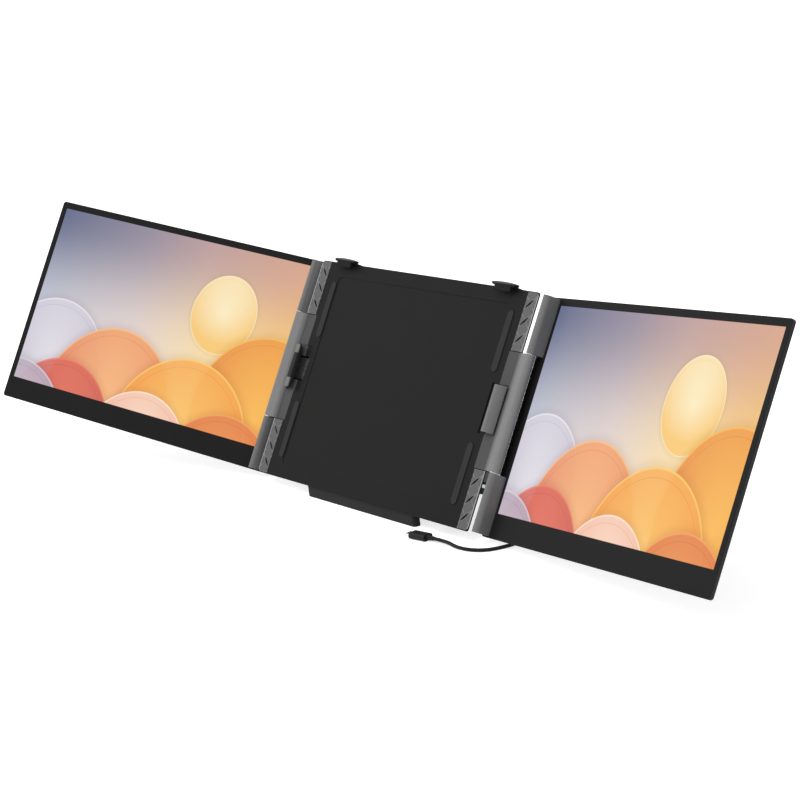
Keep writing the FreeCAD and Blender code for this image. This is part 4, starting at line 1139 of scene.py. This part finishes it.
@dataclass
class TopClip:
    """One side's sprung clip over the lid's upper edge."""

    side: Side
    cap: Moulded = Moulded("cap_grey", grey(72), roughness=0.45, specular=0.1)
    guide: Moulded = GUIDE_PLASTIC
    # The painted shade on the cap's lower part, and the height along the sheet above which its top
    # keeps its paler tone as painted light.
    cover: Colour = grey(20)
    pale_from: float = 225.0

    def build(self) -> None:
        """Shape and dress the clip's pieces."""
        word = self.side.word
        # The cap is painted dark as shade below that height, so that its top looks lit.
        finish = TwoTone("clip_cap", self.cap, self.cover, 1, -BASE.height, self.pale_from, 0.5)
        SoftEdge(width=0.25).shape(f"top_clip_cap_{word}", finish)
        DRESSER.dress(f"top_clip_pad_{word}", BLACK_RUBBER)
        DRESSER.dress(f"top_clip_guide_{word}", self.guide)
        SoftEdge(width=0.15).shape(f"top_clip_strap_{word}", STEEL)


@dataclass
class Screen:
    """One of the two screens, with its barrels on the hinge and its keys."""

    side: Side
    picture_inner: float = 8.0
    picture_low: float = 22.8
    picture_width: float = 344.2
    picture_height: float = 193.6
    drop: dict[Side, float] = field(default_factory=lambda: {Side.RIGHT: 9.9, Side.LEFT: 10.8})
    thickness: float = 4.4
    screw: Screw = Screw(length=7.4)
    screw_y: tuple[float, ...] = (14.0, 42.0, 209.0, 181.0)
    shell: Metal = SCREEN_SHELL
    bezel: Moulded = Moulded("bezel_black", grey(31), roughness=0.45, specular=0.02)
    barrel: Metal = BARREL_METAL
    key: Moulded = Moulded("key_plastic", grey(70), roughness=0.4, specular=0.3)
    guide: Moulded = Moulded("light_guide", grey(225), roughness=0.4, specular=0.3)
    board: Moulded = CIRCUIT_BOARD

    def build(self) -> None:
        """Shape and dress the screen's pieces."""
        name = f"screen_{self.side.word}_"
        datum = screen_datum(self.side)
        SoftEdge(width=0.3).shape(name + "back_shell", self.shell)
        SoftEdge(width=0.12).shape(name + "bezel", self.bezel)
        SoftEdge(width=0.15).shape(name + "hinge_barrels", self.barrel)
        for key in ("power_key", "menu_key"):
            SoftEdge(width=0.08).shape(name + key, self.key)
        left = self.picture_inner
        if self.side is Side.LEFT:
            left = -self.picture_inner - self.picture_width
        picture = Picture(f"picture_{self.side.word}", datum, left, self.picture_low,
                          self.picture_width, self.picture_height)
        DRESSER.dress(name + "display", picture)
        DRESSER.dress(name + "backlight", self.guide)
        DRESSER.dress(name + "driver_board", self.board)
        back = -self.drop[self.side] - self.thickness
        self.screw.set_in(datum, [(0.0, y, back) for y in self.screw_y], name + "screws", STEEL)


@dataclass
class Lead:
    """The lead: one smooth line from the base's plug, behind and round the right screen."""

    diameter: float = 3.4
    length: float = 434.0
    rest: float = 1.75
    plug_rest: float = 3.15
    jacket: Moulded = Moulded("cord_jacket", grey(26), roughness=0.5, specular=0.1)
    plug: Moulded = Moulded("plug_plastic", grey(28), roughness=0.5, specular=0.12)
    tongue_from: float = 28.0
    tongue_margin: float = 0.02
    steps: int = 12
    round_steps: int = 6

    def route(self) -> list[Point]:
        """The line's points in millimetres, as the frame's tube has them.

        Returns:
            The points from the base's plug to the laptop's plug, in the frame's own axes.
        """
        low = self.rest
        return [
            (135.0, 49.6, 26.05), (135.0, 63.4, 18.08), (135.8, 82.0, 9.0), (138.5, 107.0, 2.4),
            (145.0, 139.0, low), (157.0, 168.0, low), (178.0, 187.0, low), (202.0, 179.0, low),
            (210.5, 152.0, low), (207.5, 124.0, low), (206.0, 97.0, low), (207.6, 69.0, low),
            (212.5, 40.0, low), (214.5, 21.0, low), (213.0, 3.5, low), (206.0, -11.0, low),
            (192.0, -18.5, low), (175.0, -20.2, 1.85), (158.3, -17.3, 2.9),
            (141.64, -19.42, self.plug_rest),
        ]

    def build(self) -> None:
        curve = bpy.data.curves.new("lead_line", "CURVE")
        curve.dimensions = "3D"
        points = self.route()
        spline = curve.splines.new("NURBS")
        spline.points.add(len(points) - 1)
        for target, point in zip(spline.points, points):
            target.co = (*(Vector(point) * MM), 1.0)
        spline.order_u = 3
        spline.use_endpoint_u = True
        spline.resolution_u = self.steps
        curve.bevel_depth = self.diameter / 2 * MM
        curve.bevel_resolution = self.round_steps
        curve.use_fill_caps = True
        lead = added("lead", curve)
        DRESSER.paint(lead, self.jacket)
        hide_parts("usb_lead")
        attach(lead, "base")
        ends = {"usb_plug_base": points[:2], "usb_plug_laptop": points[:-3:-1]}
        plugs = [self._plug(node, Vector(end), Vector(before)).name
                 for node, (end, before) in ends.items()]
        log.info("laid the lead")

    def _plug(self, node: str, end: Vector, before: Vector) -> bpy.types.Object:
        """A plug with softened edges and a bare metal tongue.

        Args:
            node: the plug's node.
            end: the lead's end in the plug, in millimetres.
            before: the lead's point before that, in millimetres.

        Returns:
            The plug.
        """
        piece = SoftEdge(width=0.3).shape(node, self.plug)
        heading = (end - before).normalized()
        piece.data.materials.append(DRESSER.material(STEEL))
        for face in piece.data.polygons:
            if (face.center / MM - end).dot(heading) > self.tongue_from + self.tongue_margin:
                face.material_index = 2
        return piece


@dataclass(frozen=True)
class Camera:
    """The camera, at the place and angle from which the photograph was taken."""

    place: Point = (1.8553, -1.17427, 0.65429)
    forward: Point = (-0.808326, 0.535382, -0.244898)
    roll: float = -7.554
    lens: float = 108.585
    shift: tuple[float, float] = (0.0032, 0.0032)

    def build(self) -> None:
        """Add the camera and make it the scene's own."""
        data = bpy.data.cameras.new("camera")
        data.lens = self.lens
        data.shift_x, data.shift_y = self.shift
        camera = added("camera", data)
        turn = Quaternion((0, 0, 1), math.radians(self.roll))
        camera.rotation_mode = "QUATERNION"
        camera.rotation_quaternion = Vector(self.forward).to_track_quat("-Z", "Y") @ turn
        camera.location = self.place
        bpy.context.scene.camera = camera
        log.info("placed the camera")


@dataclass(frozen=True)
class Lamp:
    """A square soft light that looks at the object."""

    name: str
    place: Point
    size: float
    power: float
    aim: Point = (0.0, 0.0, 0.12)

    def build(self) -> None:
        """Add the lamp and turn it to its aim."""
        data = bpy.data.lights.new(self.name, "AREA")
        data.size = self.size
        data.energy = self.power
        light = added(self.name, data)
        light.location = self.place
        heading = Vector(self.aim) - light.location
        light.rotation_euler = heading.to_track_quat("-Z", "Y").to_euler()


@dataclass(frozen=True)
class Studio:
    """The pale floor, the white surroundings and the soft lamps."""

    floor_size: float = 30.0
    floor_colour: Colour = (0.86, 0.86, 0.86)
    floor_glow: float = 0.55
    sky: float = 0.62
    lamps: tuple[Lamp, ...] = (
        Lamp("lamp_high", (0.5, -1.2, 2.6), 1.6, 38.0),
        Lamp("lamp_left", (-2.4, -1.4, 1.5), 1.4, 22.0),
        Lamp("lamp_behind", (0.6, 2.4, 2.0), 1.6, 22.0),
    )

    def build(self) -> None:
        """Add the floor, the world and the lamps."""
        self._world()
        self._floor()
        for lamp in self.lamps:
            lamp.build()
        bpy.context.scene.view_settings.view_transform = "Standard"
        log.info("built the studio")

    @staticmethod
    def _seen(graph: Graph) -> Term:
        """Tell the rays that see a thing from those that only light it.

        Args:
            graph: the graph of the material or world.

        Returns:
            One for a ray from the camera, a mirror or glass, and nought for any other.
        """
        path = graph.node("ShaderNodeLightPath", {}, {}, "Is Camera Ray")
        outputs = path.socket.node.outputs
        mirrored = Term(graph, outputs["Is Glossy Ray"])
        passed = Term(graph, outputs["Is Transmission Ray"])
        return path.most(mirrored).most(passed)

    def _world(self) -> None:
        """A plain sky that lights evenly and looks white where it is seen or mirrored."""
        world = bpy.data.worlds.new("surroundings")
        bpy.context.scene.world = world
        graph = Graph(world)
        level = self._seen(graph) * (1.0 - self.sky) + self.sky
        light = graph.node("ShaderNodeBackground", {}, {"Color": WHITE, "Strength": level})
        graph.finish(light, "ShaderNodeOutputWorld")

    def _floor(self) -> None:
        """The floor, white to the camera and still darker under the object."""
        bpy.ops.object.select_all(action="DESELECT")
        bpy.ops.mesh.primitive_plane_add(size=self.floor_size, location=(0, 0, 0))
        floor = bpy.context.active_object
        floor.name = "floor"
        graph = Graph(bpy.data.materials.new("pale_floor"))
        seen = self._seen(graph)
        diffuse = graph.node("ShaderNodeBsdfDiffuse", {}, {"Color": opaque(self.floor_colour)})
        glow = graph.node("ShaderNodeEmission", {}, {"Color": WHITE, "Strength": self.floor_glow})
        both = graph.node("ShaderNodeAddShader", {}, {0: diffuse, 1: glow})
        shader = graph.node("ShaderNodeMixShader", {}, {0: seen, 1: diffuse, 2: both})
        floor.data.materials.append(graph.finish(shader))


def main() -> None:
    """Build every sub-assembly in order."""
    logging.basicConfig(level=logging.INFO, format="%(name)s: %(message)s")
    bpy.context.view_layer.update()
    Camera().build()
    Lead().build()
    Studio().build()
    BaseUnit().build()
    Stand().build()
    for side in Side:
        HingeSide(side).build()
        Clamp(side).build()
        TopClip(side).build()
        Screen(side).build()


if __name__ == "__main__":
    main()
